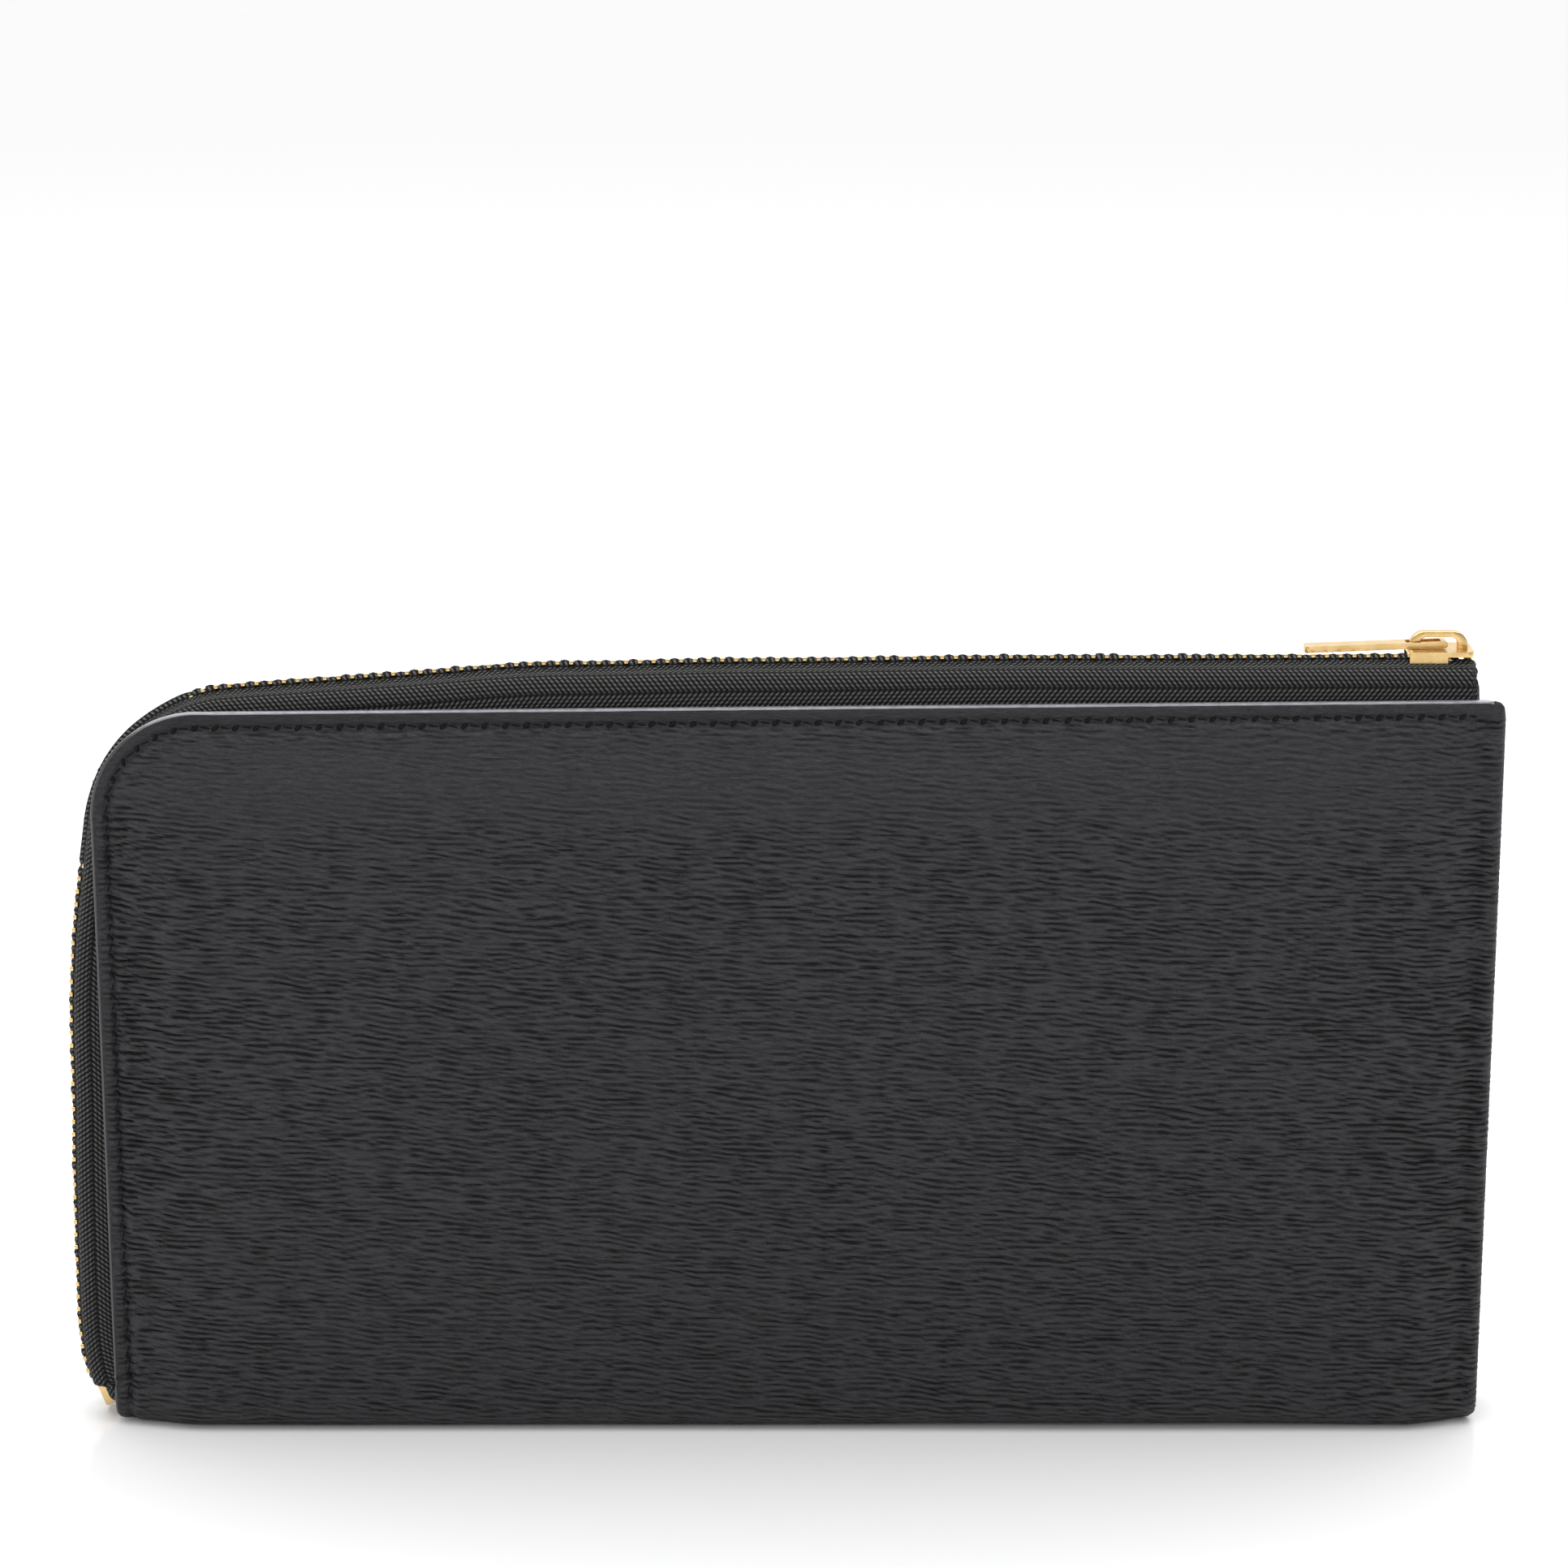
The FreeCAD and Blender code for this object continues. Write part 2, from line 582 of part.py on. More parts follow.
def zip_stops():
    """Top stops beside the closed slider's mouth, and one bottom stop across both tapes."""
    stop_start = size("slider_place") + size("stop_gap")
    for node, side in (("front_top_stop", FRONT), ("back_top_stop", BACK)):
        block = stop_block(side, size("stop_length"))
        block.translate(Vector(stop_start, 0, size("chain_height")))
        keep_shape(node, block)
    whole = sum(length for length, _ in chain_runs())
    near, wall, bead = size("bead_near"), size("stop_wall"), size("bead_half")
    half = size("bottom_stop_length") / 2.0
    bar = prism([(-near, -bead - wall), (near - 0.02, -bead - wall), (near - 0.02, bead + wall),
                 (-near, bead + wall)], -half, half)
    keep_shape("bottom_stop", on_chain(bar, whole - half))


# ---------------------------------------------------------------------------------------------------
# Sliders and pull tabs, made at the origin of a chain along X whose outer side is +Z
# ---------------------------------------------------------------------------------------------------
def slider_body(node, place, neck_middle):
    """Two plates joined by a neck at the mouth, with flanges along the closed part."""
    body = doc.addObject("PartDesign::Body", node)
    half_length, half_width = "slider_half_length", "slider_half_width"
    outside = ("-" + half_length, half_length, "-" + half_width, half_width)
    neck = ("neck_low", "neck_low + neck_length",
            neck_middle + " - neck_width / 2", neck_middle + " + neck_width / 2")
    add_pad(body, "neck", "XY_Plane", "-slider_channel", neck, "2 * slider_channel")
    add_pad(body, "outer_plate", "XY_Plane", "slider_channel", outside, "slider_plate")
    add_pad(body, "inner_plate", "XY_Plane", "-slider_channel - slider_plate", outside, "slider_plate")
    for tag, near in (("front", "-" + half_width), ("back", half_width + " - flange_thick")):
        strip = ("-" + half_length, "flange_length - " + half_length, near, near + " + flange_thick")
        height = "slider_channel - flange_slit"
        add_pad(body, tag + "_outer_flange", "XY_Plane", "flange_slit", strip, height)
        add_pad(body, tag + "_inner_flange", "XY_Plane", "-slider_channel", strip, height)
    top = size("slider_channel") + size("slider_plate")
    length = size("slider_half_length")
    doc.recompute()
    round_edges(body, "nose", in_sheet("slider_nose_radius"),
                lambda middle, run: abs(run.z) > 0.99 and middle.x > length - 0.1)
    round_edges(body, "heel", in_sheet("slider_heel_radius"),
                lambda middle, run: middle.x < 0.1 - length and abs(run.y) > 0.99
                and abs(abs(middle.z) - top) < 0.01)
    body.Placement = place
    return keep(body, node)


def slider_bail(node, place):
    """The D-shaped loop on the slider's outer plate."""
    body = doc.addObject("PartDesign::Body", node)
    base = "slider_channel + slider_plate"
    outer = ("bail_left", "bail_right", base, base + " + bail_rise")
    window = ("bail_left + bail_leg", "bail_right - bail_leg", base, base + " + bail_rise - bail_strip")
    add_pad(body, "loop", "XZ_Plane", "-bail_half_width", outer, "2 * bail_half_width")
    doc.recompute()
    rise, leg = size("bail_rise"), size("bail_leg")
    foot = size("slider_channel") + size("slider_plate")
    round_edges(body, "crown", in_sheet("bail_rise - bail_shoulder"),
                lambda middle, run: abs(run.y) > 0.99 and middle.z > foot + rise - 0.01)
    add_slot(body, "window", "XZ_Plane", "-bail_half_width", window, "2 * bail_half_width")
    round_edges(body, "window_corners", in_sheet("bail_window_radius"),
                lambda middle, run: abs(run.y) > 0.99 and foot + 0.5 < middle.z < foot + rise - 0.5
                and size("bail_left") + leg - 0.01 < middle.x < size("bail_right") - leg + 0.01)
    body.Placement = place
    return keep(body, node)


def pull_tab(node, place, length):
    """Flat bar whose rounded end passes through the bail, made with its pivot at the origin."""
    body = doc.addObject("PartDesign::Body", node)
    end = "pull_thick / 2"
    bar = (end + " - " + length, end, "-pull_half_width", "pull_half_width")
    slot = ("-pull_slot_end", "-pull_slot_start", "-pull_slot_half_width", "pull_slot_half_width")
    add_pad(body, "bar", "XY_Plane", "-pull_thick / 2", bar, "pull_thick")
    doc.recompute()
    add_slot(body, "slot", "XY_Plane", "-pull_thick / 2", slot, "pull_thick")
    half = size("pull_thick") / 2.0
    round_edges(body, "pivot_end", in_sheet("0.96 * pull_thick / 2"),
                lambda middle, run: abs(run.y) > 0.99 and middle.x > half - 0.01)
    tail = half - value_of(length)
    round_edges(body, "tail", in_sheet("pull_tail_radius"),
                lambda middle, run: abs(run.z) > 0.99 and middle.x < tail + 0.01)
    body.Placement = place
    return keep(body, node)


def pull_place(chain_frame):
    """Lay a pull tab down on the chain, tilted about its pivot."""
    pivot = Placement(Vector(size("pivot_place"), 0, size("pivot_height")),
                      Rotation(Vector(0, 1, 0), -size("pull_tilt")))
    return chain_frame.multiply(pivot)


def main_slider():
    """Slider, bail and pull tab at the zip's closed end."""
    frame = Placement(Vector(size("slider_place"), 0, size("chain_height")), Rotation())
    slider_body("slider_body", frame, "-neck_offset")
    slider_bail("slider_bail", frame)
    pull_tab("pull_tab", pull_place(frame), "pull_length")


# ---------------------------------------------------------------------------------------------------
# Coin pocket: two walls between the halves, with a flat zip in the front one
# ---------------------------------------------------------------------------------------------------
def coin_frame(x):
    """The coin chain's frame: its outer side faces the front of the wallet."""
    depth = size("coin_front_face") + size("coin_wall") / 2.0
    return Placement(Vector(x, depth, size("coin_zip_height")), Rotation(Vector(1, 0, 0), 90))


def coin_walls():
    """Back wall, front wall below the zip, and the rim above it."""
    back_height = ("coin_low", "coin_top")
    plate("coin_back_wall", "coin_left", "coin_right", *back_height, "coin_back_near", "coin_wall")
    plate("coin_front_wall", "coin_left", "coin_right", "coin_low",
          "coin_zip_height - bead_near - coin_tape_width", "coin_front_face", "coin_wall")
    plate("coin_rim", "coin_left", "coin_right", "coin_zip_height + bead_near + coin_tape_width",
          "coin_top", "coin_front_face", "coin_wall")


def coin_tapes():
    """Flat tapes above and below the coin zip's chain."""
    spans = {"coin_upper_tape": ("coin_zip_height + bead_near",
                                 "coin_zip_height + bead_near + coin_tape_width"),
             "coin_lower_tape": ("coin_zip_height - bead_near - coin_tape_width",
                                 "coin_zip_height - bead_near")}
    for node, (low, high) in spans.items():
        plate(node, "coin_left", "coin_right", low, high, "coin_front_face", "coin_wall")


def coin_teeth():
    """The coin zip's two rows of teeth, apart by enough for the slider's neck to run between them.

    Both tapes are fixed to the same wall, so the rows can't part as the slider passes.
    """
    pitch = size("tooth_pitch")
    right = size("coin_slider_place") + size("first_tooth")
    count = int((right - size("coin_chain_left")) / pitch)
    for node, side, shift in (("coin_lower_teeth", FRONT, 0.5), ("coin_upper_teeth", BACK, 0.0)):
        pattern = tooth(side, -size("coin_tooth_gap"))
        teeth = []
        for number in range(count):
            one = pattern.copy()
            one.Placement = coin_frame(right - (number + shift) * pitch)
            teeth.append(one)
        keep_shape(node, Part.makeCompound(teeth))


def coin_stops():
    """Stops at both ends of the coin zip, on the upper cord, clear of the slider's neck."""
    length = size("stop_length")
    gap = size("stop_gap")
    open_end = size("coin_chain_left") - size("slider_half_length")
    places = {"coin_closed_stop": size("coin_slider_place") + gap,
              "coin_open_stop": open_end - gap - length}
    for node, x in places.items():
        block = stop_block(BACK, length)
        block.Placement = coin_frame(x)
        keep_shape(node, block)


def coin_slider():
    """The coin zip's own slider, bail and pull tab."""
    frame = coin_frame(size("coin_slider_place"))
    slider_body("coin_slider_body", frame, "0")
    slider_bail("coin_slider_bail", frame)
    pull_tab("coin_pull_tab", pull_place(frame), "coin_pull_length")


# ---------------------------------------------------------------------------------------------------
# Build, check and write
# ---------------------------------------------------------------------------------------------------
def check_document():
    """Stop if any object failed or any sub-part isn't a good solid."""
    doc.recompute()
    for item in doc.Objects:
        if "Invalid" in item.State or "Error" in item.State:
            raise ValueError("%s failed: %s" % (item.Name, item.State))
    for feature in NODES:
        shape = feature.Shape
        if shape.isNull() or not shape.isValid() or not shape.Solids:
            raise ValueError("%s has no good solid" % feature.Label)


outer_leather()
bottom_leather()
bottom_lining()
linings()
boards()
card_pockets()
slip_pocket()
gusset_leaves()
zip_tapes()
zip_teeth()
zip_stops()
main_slider()
coin_walls()
coin_tapes()
coin_teeth()
coin_stops()
coin_slider()
check_document()
for feature in NODES:
    feature.Shape.exportStep("parts/%s.step" % feature.Label)
    box = feature.Shape.optimalBoundingBox(False, False)
    print("%-18s %3d solids  x %7.2f..%7.2f  y %6.2f..%6.2f  z %6.2f..%6.2f  %9.2f mm3" % (
        feature.Label, len(feature.Shape.Solids), box.XMin, box.XMax, box.YMin, box.YMax,
        box.ZMin, box.ZMax, feature.Shape.Volume))
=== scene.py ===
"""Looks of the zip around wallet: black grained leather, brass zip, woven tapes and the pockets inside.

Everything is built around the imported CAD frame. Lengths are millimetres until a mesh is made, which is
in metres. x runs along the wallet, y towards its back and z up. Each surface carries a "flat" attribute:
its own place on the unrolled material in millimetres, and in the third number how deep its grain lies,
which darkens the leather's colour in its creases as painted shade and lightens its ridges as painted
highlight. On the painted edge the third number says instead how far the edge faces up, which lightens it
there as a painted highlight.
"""

import math

import bmesh
import bpy
import numpy as np
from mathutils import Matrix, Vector


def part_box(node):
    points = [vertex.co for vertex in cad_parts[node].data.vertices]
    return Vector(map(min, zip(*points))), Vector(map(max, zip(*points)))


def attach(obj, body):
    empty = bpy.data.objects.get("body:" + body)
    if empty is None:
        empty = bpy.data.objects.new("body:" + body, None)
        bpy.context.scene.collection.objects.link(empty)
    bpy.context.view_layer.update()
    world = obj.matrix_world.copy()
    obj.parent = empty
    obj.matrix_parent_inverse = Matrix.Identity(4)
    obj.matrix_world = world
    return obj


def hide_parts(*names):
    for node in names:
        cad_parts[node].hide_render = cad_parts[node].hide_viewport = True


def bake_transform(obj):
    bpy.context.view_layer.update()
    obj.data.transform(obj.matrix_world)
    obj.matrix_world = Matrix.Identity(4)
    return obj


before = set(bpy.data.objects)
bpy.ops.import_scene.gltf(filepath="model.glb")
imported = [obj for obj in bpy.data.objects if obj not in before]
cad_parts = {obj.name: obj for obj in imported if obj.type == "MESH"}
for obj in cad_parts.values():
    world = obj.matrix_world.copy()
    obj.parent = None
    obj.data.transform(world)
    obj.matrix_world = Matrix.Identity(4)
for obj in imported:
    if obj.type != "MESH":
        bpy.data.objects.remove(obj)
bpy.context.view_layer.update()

MM = 0.001
FRONT = -1
BACK = 1
HALF_NAMES = {FRONT: "front", BACK: "back"}


def box_mm(node):
    """A CAD node's lowest and highest corner, in millimetres."""
    low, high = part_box(node)
    return np.array(low) / MM, np.array(high) / MM


# ---------------------------------------------------------------------------------------------------
# Driving sizes, read from the frame where it has them
# ---------------------------------------------------------------------------------------------------
LEATHER_LOW, LEATHER_HIGH = box_mm("back_leather")
LEFT, RIGHT, TOP_RIGHT = LEATHER_LOW[0], LEATHER_HIGH[0], 105.6
TOP_LEFT = 103.8
CORNER = 14.5
STITCH_FOOT = 3.2
SQUARE_CORNER = 1.1
FOOT_CORNER = 2.0
LEATHER_THICK = 1.2
BORDER_DEPTH = 6.9
MIDDLE_DEPTH = LEATHER_HIGH[1] - 0.05
BEND = 4.0
SEAM_UNDER = 2.5
STITCH_INSET = 2.0
STITCH_PITCH = 2.82
ROLL = 1.6
FLANGE_END = 93.6
SOLE_LIFT = 0.3
TURNED_THICK = 0.9
TURNED_COLUMNS = 12
GRAIN_UNIT = 0.03

CHAIN_START = box_mm("back_zip_tape")[1][0]
CHAIN_HEIGHT = 109.7
CHAIN_RUNS = [(123.0, None), (math.radians(4.0) * 250.0, 250.0), (30.6, None),
              (math.radians(80.85) * 21.5, 21.5), (math.radians(5.15) * 784.0, 784.0),
              (math.radians(24.0) * 40.0, 40.0)]
CHAIN_LENGTH = sum(length for length, _ in CHAIN_RUNS)
SAG_STEPS = [(0.12, 10.0, 40.0), (0.45, 58.0, 100.0), (0.45, 98.0, 125.0), (0.42, 124.0, 146.0),
             (-1.44, 176.0, 220.0), (0.5, 224.0, 244.0), (-0.5, 272.0, 284.0),
             (1.4, CHAIN_LENGTH - 2.4, CHAIN_LENGTH)]
SAG_HUMPS = [(0.25, 181.0, 6.0), (0.7, 200.0, 16.0)]
TOOTH_PITCH = 1.87
TOOTH_SHIFT = {FRONT: 0.5, BACK: 0.0}
FIRST_TOOTH = 4.7
TOP_STOP_END = box_mm("front_top_stop")[1][0]
FOLD_IN = 1.0


# ---------------------------------------------------------------------------------------------------
# Small tools: curves, seeded noise, meshes
# ---------------------------------------------------------------------------------------------------
def smooth(value, start=0.0, end=1.0):
    """0 before start, 1 after end, and a smooth rise between them."""
    t = np.clip((np.asarray(value, float) - start) / (end - start), 0.0, 1.0)
    return t * t * (3.0 - 2.0 * t)


def hump(value, middle, width):
    """1 at the middle, and a smooth fall to 0 on both sides of it."""
    return np.exp(-((value - middle) / width) ** 2)


def streaks(seed, shape, step, wave, run, spread=0.45):
    """Seeded ridges across a grid: about one per wave down the rows, each about a run long across them."""
    random = np.random.default_rng(seed)
    field = np.fft.rfft2(random.standard_normal(shape))
    down = np.abs(np.fft.fftfreq(shape[0], step[0]))[:, None]
    across = np.fft.rfftfreq(shape[1], step[1])[None, :]
    band = np.exp(-0.5 * ((down * wave - 1.0) / spread) ** 2) * np.exp(-0.5 * (across * run * 2.0) ** 2)
    made = np.fft.irfft2(field * band, s=shape)
    return made / made.std()


def sample(field, row, column):
    """Read a grid between its points; the grid repeats at its edges."""
    rows, columns = field.shape
    row, column = np.mod(row, rows), np.mod(column, columns)
    r0, c0 = np.floor(row).astype(int), np.floor(column).astype(int)
    r1, c1 = (r0 + 1) % rows, (c0 + 1) % columns
    fr, fc = row - r0, column - c0
    return ((field[r0, c0] * (1 - fr) + field[r1, c0] * fr) * (1 - fc)
            + (field[r0, c1] * (1 - fr) + field[r1, c1] * fr) * fc)


def soft_noise(seed, x, z, size):
    """Smooth seeded noise of about unit height, with lumps of this size, at any points."""
    random = np.random.default_rng(seed)
    grid = random.standard_normal((64, 64))
    return 1.6 * sample(grid, np.asarray(z) / size, np.asarray(x) / size)


def grid_faces(rows, columns, start=0, closed_columns=False, flip=False):
    """Quads of a grid of points that is stored row by row."""
    last = columns if closed_columns else columns - 1
    r, c = np.meshgrid(np.arange(rows - 1), np.arange(last), indexing="ij")
    n = (c + 1) % columns
    quads = np.stack([r * columns + c, r * columns + n, (r + 1) * columns + n, (r + 1) * columns + c], -1)
    quads = quads.reshape(-1, 4) + start
    return quads[:, ::-1] if flip else quads


def tube_faces(stations, around, start=0):
    """Faces of a tube through rings of points, closed at both ends."""
    last = start + (stations - 1) * around
    faces = [list(face) for face in grid_faces(stations, around, start, closed_columns=True)]
    return faces + [list(range(start, start + around))[::-1], list(range(last, last + around))]


def make_piece(name, points, faces, flat, material):
    """A mesh object from points in millimetres and faces of any length."""
    mesh = bpy.data.meshes.new(name)
    mesh.from_pydata((np.asarray(points, float) * MM).tolist(), [], [list(map(int, f)) for f in faces])
    if flat is not None:
        layer = mesh.attributes.new("flat", "FLOAT_VECTOR", "POINT")
        layer.data.foreach_set("vector", np.asarray(flat, np.float32).ravel())
    mesh.validate()
    mesh.shade_smooth()
    piece = bpy.data.objects.new(name, mesh)
    bpy.context.scene.collection.objects.link(piece)
    mesh.materials.append(material)
    return piece


def outward(piece):
    """Turn every face of a closed piece to look out."""
    work = bmesh.new()
    work.from_mesh(piece.data)
    bmesh.ops.recalc_face_normals(work, faces=work.faces)
    work.to_mesh(piece.data)
    work.free()
    return piece


def sharpen(piece, degrees):
    """Keep edges sharper than this angle crisp in an otherwise smooth piece."""
    work = bmesh.new()
    work.from_mesh(piece.data)
    limit = math.radians(degrees)
    for edge in work.edges:
        edge.smooth = len(edge.link_faces) == 2 and edge.calc_face_angle(0.0) < limit
    work.to_mesh(piece.data)
    work.free()


def settle(piece, side, slot, *nodes):
    """Hide the CAD nodes that a half's soft piece stands for, and tie a back half's piece to the back half;
    slot is not used.

    The front half's pieces run down into the bottom fold, which stays with the back half.
    """
    if nodes:
        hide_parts(*nodes)
    if side == BACK:
        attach(piece, "back_half")
    else:
        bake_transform(piece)


# ---------------------------------------------------------------------------------------------------
# Materials
# ---------------------------------------------------------------------------------------------------
def new_material(name, color, roughness, metallic=0.0, **more):
    """A principled material; more sets its other sockets by name, with _ for a space."""
    material = bpy.data.materials.new(name)
    material.use_nodes = True
    tree = material.node_tree
    tree.nodes.clear()
    output = tree.nodes.new("ShaderNodeOutputMaterial")
    shader = tree.nodes.new("ShaderNodeBsdfPrincipled")
    tree.links.new(shader.outputs["BSDF"], output.inputs["Surface"])
    shader.inputs["Base Color"].default_value = (*color, 1.0)
    shader.inputs["Roughness"].default_value = roughness
    shader.inputs["Metallic"].default_value = metallic
    for socket, value in more.items():
        shader.inputs[socket.replace("_", " ")].default_value = value
    return material, tree, shader


def put(tree, kind, inputs, **settings):
    """Add a node, and set or link its inputs by name or number."""
    made = tree.nodes.new("ShaderNode" + kind)
    for key, value in settings.items():
        setattr(made, key, value)
    for key, value in inputs.items():
        if isinstance(value, bpy.types.NodeSocket):
            tree.links.new(value, made.inputs[key])
        else:
            made.inputs[key].default_value = value
    return made


def calc(tree, operation, first, second=0.0):
    """One step of arithmetic on sockets or numbers."""
    return put(tree, "Math", {0: first, 1: second}, operation=operation).outputs[0]


def plus(tree, first, second, share):
    """The first value and a share of the second."""
    return calc(tree, "ADD", first, calc(tree, "MULTIPLY", second, share))


def flat_place(tree):
    """The unrolled place on the material, as separate millimetre sockets, and as one vector."""
    place = put(tree, "Attribute", {}, attribute_name="flat", attribute_type="GEOMETRY")
    parts = put(tree, "SeparateXYZ", {0: place.outputs["Vector"]})
    return parts.outputs[0], parts.outputs[1], parts.outputs[2], place.outputs["Vector"]


def noise(tree, vector, stretch, detail=3.0, roughness=0.55, wiggle=0.0):
    """Noise with its own scale along each direction, in features per unit of the vector."""
    scaled = put(tree, "VectorMath", {0: vector, 1: stretch}, operation="MULTIPLY").outputs[0]
    made = put(tree, "TexNoise", {"Vector": scaled, "Scale": 1.0, "Detail": detail, "Roughness": roughness,
                                  "Distortion": wiggle})
    return made.outputs["Fac"]


def speckle(tree, scale, detail):
    """Even noise over the object, with its scale in features per metre."""
    place = put(tree, "TexCoord", {}).outputs["Object"]
    return put(tree, "TexNoise", {"Vector": place, "Scale": scale, "Detail": detail}).outputs["Fac"]


def tint(tree, shader, value, low, high, low_color, high_color):
    """Base colour that runs from one to the other as value goes from low to high."""
    made = put(tree, "ValToRGB", {0: value})
    for element, place, color in zip(made.color_ramp.elements, (low, high), (low_color, high_color)):
        element.position = place
        element.color = (*color, 1.0)
    tree.links.new(made.outputs[0], shader.inputs["Base Color"])


def levels(tree, value, low, high, out_low, out_high):
    """Stretch a number from one range to another."""
    return put(tree, "MapRange", {0: value, 1: low, 2: high, 3: out_low, 4: out_high}).outputs[0]


def drive(tree, shader, socket, value, low, high, out_low, out_high):
    """Let a value move one of the shader's numbers from out_low to out_high."""
    tree.links.new(levels(tree, value, low, high, out_low, out_high), shader.inputs[socket])


def bump(tree, shader, height, distance_mm, under=None):
    """Relief of this height in millimetres, over any relief below it."""
    inputs = {"Height": height, "Distance": distance_mm * MM, "Strength": 1.0}
    if under is not None:
        inputs["Normal"] = under
    made = put(tree, "Bump", inputs)
    tree.links.new(made.outputs[0], shader.inputs["Normal"])
    return made.outputs[0]


def leather_material(name, dark, light, creases=(0.40, 1.45), relief=0.24, roughness=0.5):
    """Leather with long fine creases and small pores. Its colour and shine vary in real patches, and are
    darker in the creases as painted shade and lighter on the ridges as painted highlight.
    """
    material, tree, shader = new_material(name, light, roughness, Specular_IOR_Level=0.35)
    _, _, grain, vector = flat_place(tree)
    long, short = creases
    fine = noise(tree, vector, (long, short, 1.0), detail=2.5, wiggle=0.55)
    crumple = noise(tree, vector, (long * 3.2, short * 1.5, 1.0), detail=2.0, wiggle=0.7)
    pores = noise(tree, vector, (3.4, 4.6, 1.0), detail=2.0)
    patches = noise(tree, vector, (0.035, 0.06, 1.0), detail=2.0)
    folds = plus(tree, fine, crumple, 0.9)
    ridges = plus(tree, calc(tree, "MULTIPLY", folds, 0.24), grain, 0.115)
    # The tone is partly real, patches and pores, and partly painted shade: it darkens the colour and the
    # shine in the creases and lightens them on the ridges.
    tone_and_crease_shade = plus(tree, plus(tree, ridges, patches, 0.06), pores, 0.05)
    tint(tree, shader, tone_and_crease_shade, 0.07, 0.40, dark, light)
    drive(tree, shader, "Specular IOR Level", tone_and_crease_shade, 0.07, 0.40, 0.15, 0.52)
    drive(tree, shader, "Roughness", pores, 0.3, 0.7, roughness - 0.04, roughness + 0.08)
    below = bump(tree, shader, folds, relief)
    bump(tree, shader, pores, 0.045, under=below)
    return material


def edge_paint_material():
    """Glossy paint over the leather's cut edge, a little uneven from being brushed on, and lighter where the
    edge faces up as a painted highlight.
    """
    material, tree, shader = new_material("edge_paint", (0.12, 0.125, 0.14), 0.28,
                                          Coat_Weight=0.8, Coat_Roughness=0.16)
    _, _, top, vector = flat_place(tree)
    uneven = noise(tree, vector, (0.8, 1.6, 1.0), detail=3.0)
    brushed = levels(tree, uneven, 0.3, 0.7, 0.5, 1.0)
    # Where the edge faces up the colour is lightened as a painted highlight; on the sides it is nearly black.
    brushed_with_painted_highlight = calc(tree, "MULTIPLY", brushed, levels(tree, top, 0.4, 1.0, 0.06, 1.0))
    tint(tree, shader, brushed_with_painted_highlight, 0.0, 1.0, (0.010, 0.010, 0.012), (0.33, 0.34, 0.375))
    bump(tree, shader, uneven, 0.05)
    return material


def thread_material():
    """Twisted black thread."""
    material, tree, shader = new_material("black_thread", (0.003, 0.003, 0.0035), 0.7,
                                          Specular_IOR_Level=0.2)
    along, across, _, vector = flat_place(tree)
    twist = calc(tree, "SINE", plus(tree, calc(tree, "MULTIPLY", along, 14.0), across, 9.0))
    fuzz = noise(tree, vector, (6.0, 6.0, 1.0))
    height = calc(tree, "ADD", levels(tree, twist, -1.0, 1.0, 0.0, 1.0), fuzz)
    tint(tree, shader, height, 0.3, 1.6, (0.0015, 0.0015, 0.002), (0.006, 0.006, 0.007))
    bump(tree, shader, height, 0.03)
    return material


def tape_material():
    """Herringbone of the woven tape: rows of slanted yarns along it, with finer rows by its cord. Its colour
    is lighter on the raised yarns and cord beads as painted highlight, and near black in the gaps between
    yarns and rows as painted shade.
    """
    material, tree, shader = new_material("zip_tape_weave", (0.02, 0.02, 0.02), 0.8,
                                          Sheen_Weight=0.06, Sheen_Roughness=0.45,
                                          Specular_IOR_Level=0.22)
    along, across, _, vector = flat_place(tree)
    row_height, thread_pitch, pick_pitch, line_place = 2.7, 0.74, 0.56, 3.1
    below_line = calc(tree, "SUBTRACT", across, line_place)
    zigzag = calc(tree, "PINGPONG", calc(tree, "DIVIDE", below_line, 2.0 * row_height), 0.5)
    slant = plus(tree, calc(tree, "DIVIDE", along, thread_pitch), zigzag, 5.6)
    waves = calc(tree, "SINE", calc(tree, "MULTIPLY", slant, 2.0 * math.pi))
    yarn = levels(tree, waves, -0.9, 0.9, 0.0, 1.0)
    picks = calc(tree, "SINE", calc(tree, "MULTIPLY", across, 2.0 * math.pi / pick_pitch))
    beads = calc(tree, "MULTIPLY", yarn, levels(tree, picks, -1.0, 1.0, 0.25, 1.0))
    face = calc(tree, "MULTIPLY", yarn, levels(tree, picks, -1.0, 1.0, 0.34, 1.0))
    by_cord = levels(tree, across, line_place - 0.3, line_place, 1.0, 0.0)
    on_wall = calc(tree, "SUBTRACT", 1.0, by_cord)
    weave = plus(tree, calc(tree, "MULTIPLY", beads, by_cord), face, on_wall)
    # Where the slanted rows meet, the relief drops and the colour darkens with it as painted shade.
    seam = calc(tree, "PINGPONG", calc(tree, "DIVIDE", below_line, row_height), 0.5)
    between = levels(tree, seam, 0.0, 0.10, 0.15, 1.0)
    fuzz = noise(tree, vector, (5.0, 5.0, 1.0), detail=4.0)
    height = plus(tree, calc(tree, "MULTIPLY", weave, between), fuzz, 0.35)
    # The colour follows the relief: painted highlight on the raised yarns and beads, painted shade in the
    # gaps.
    tint(tree, shader, height, 0.34, 1.02, (0.0004, 0.0004, 0.0004), (0.135, 0.135, 0.132))
    bump(tree, shader, height, 0.3)
    return material


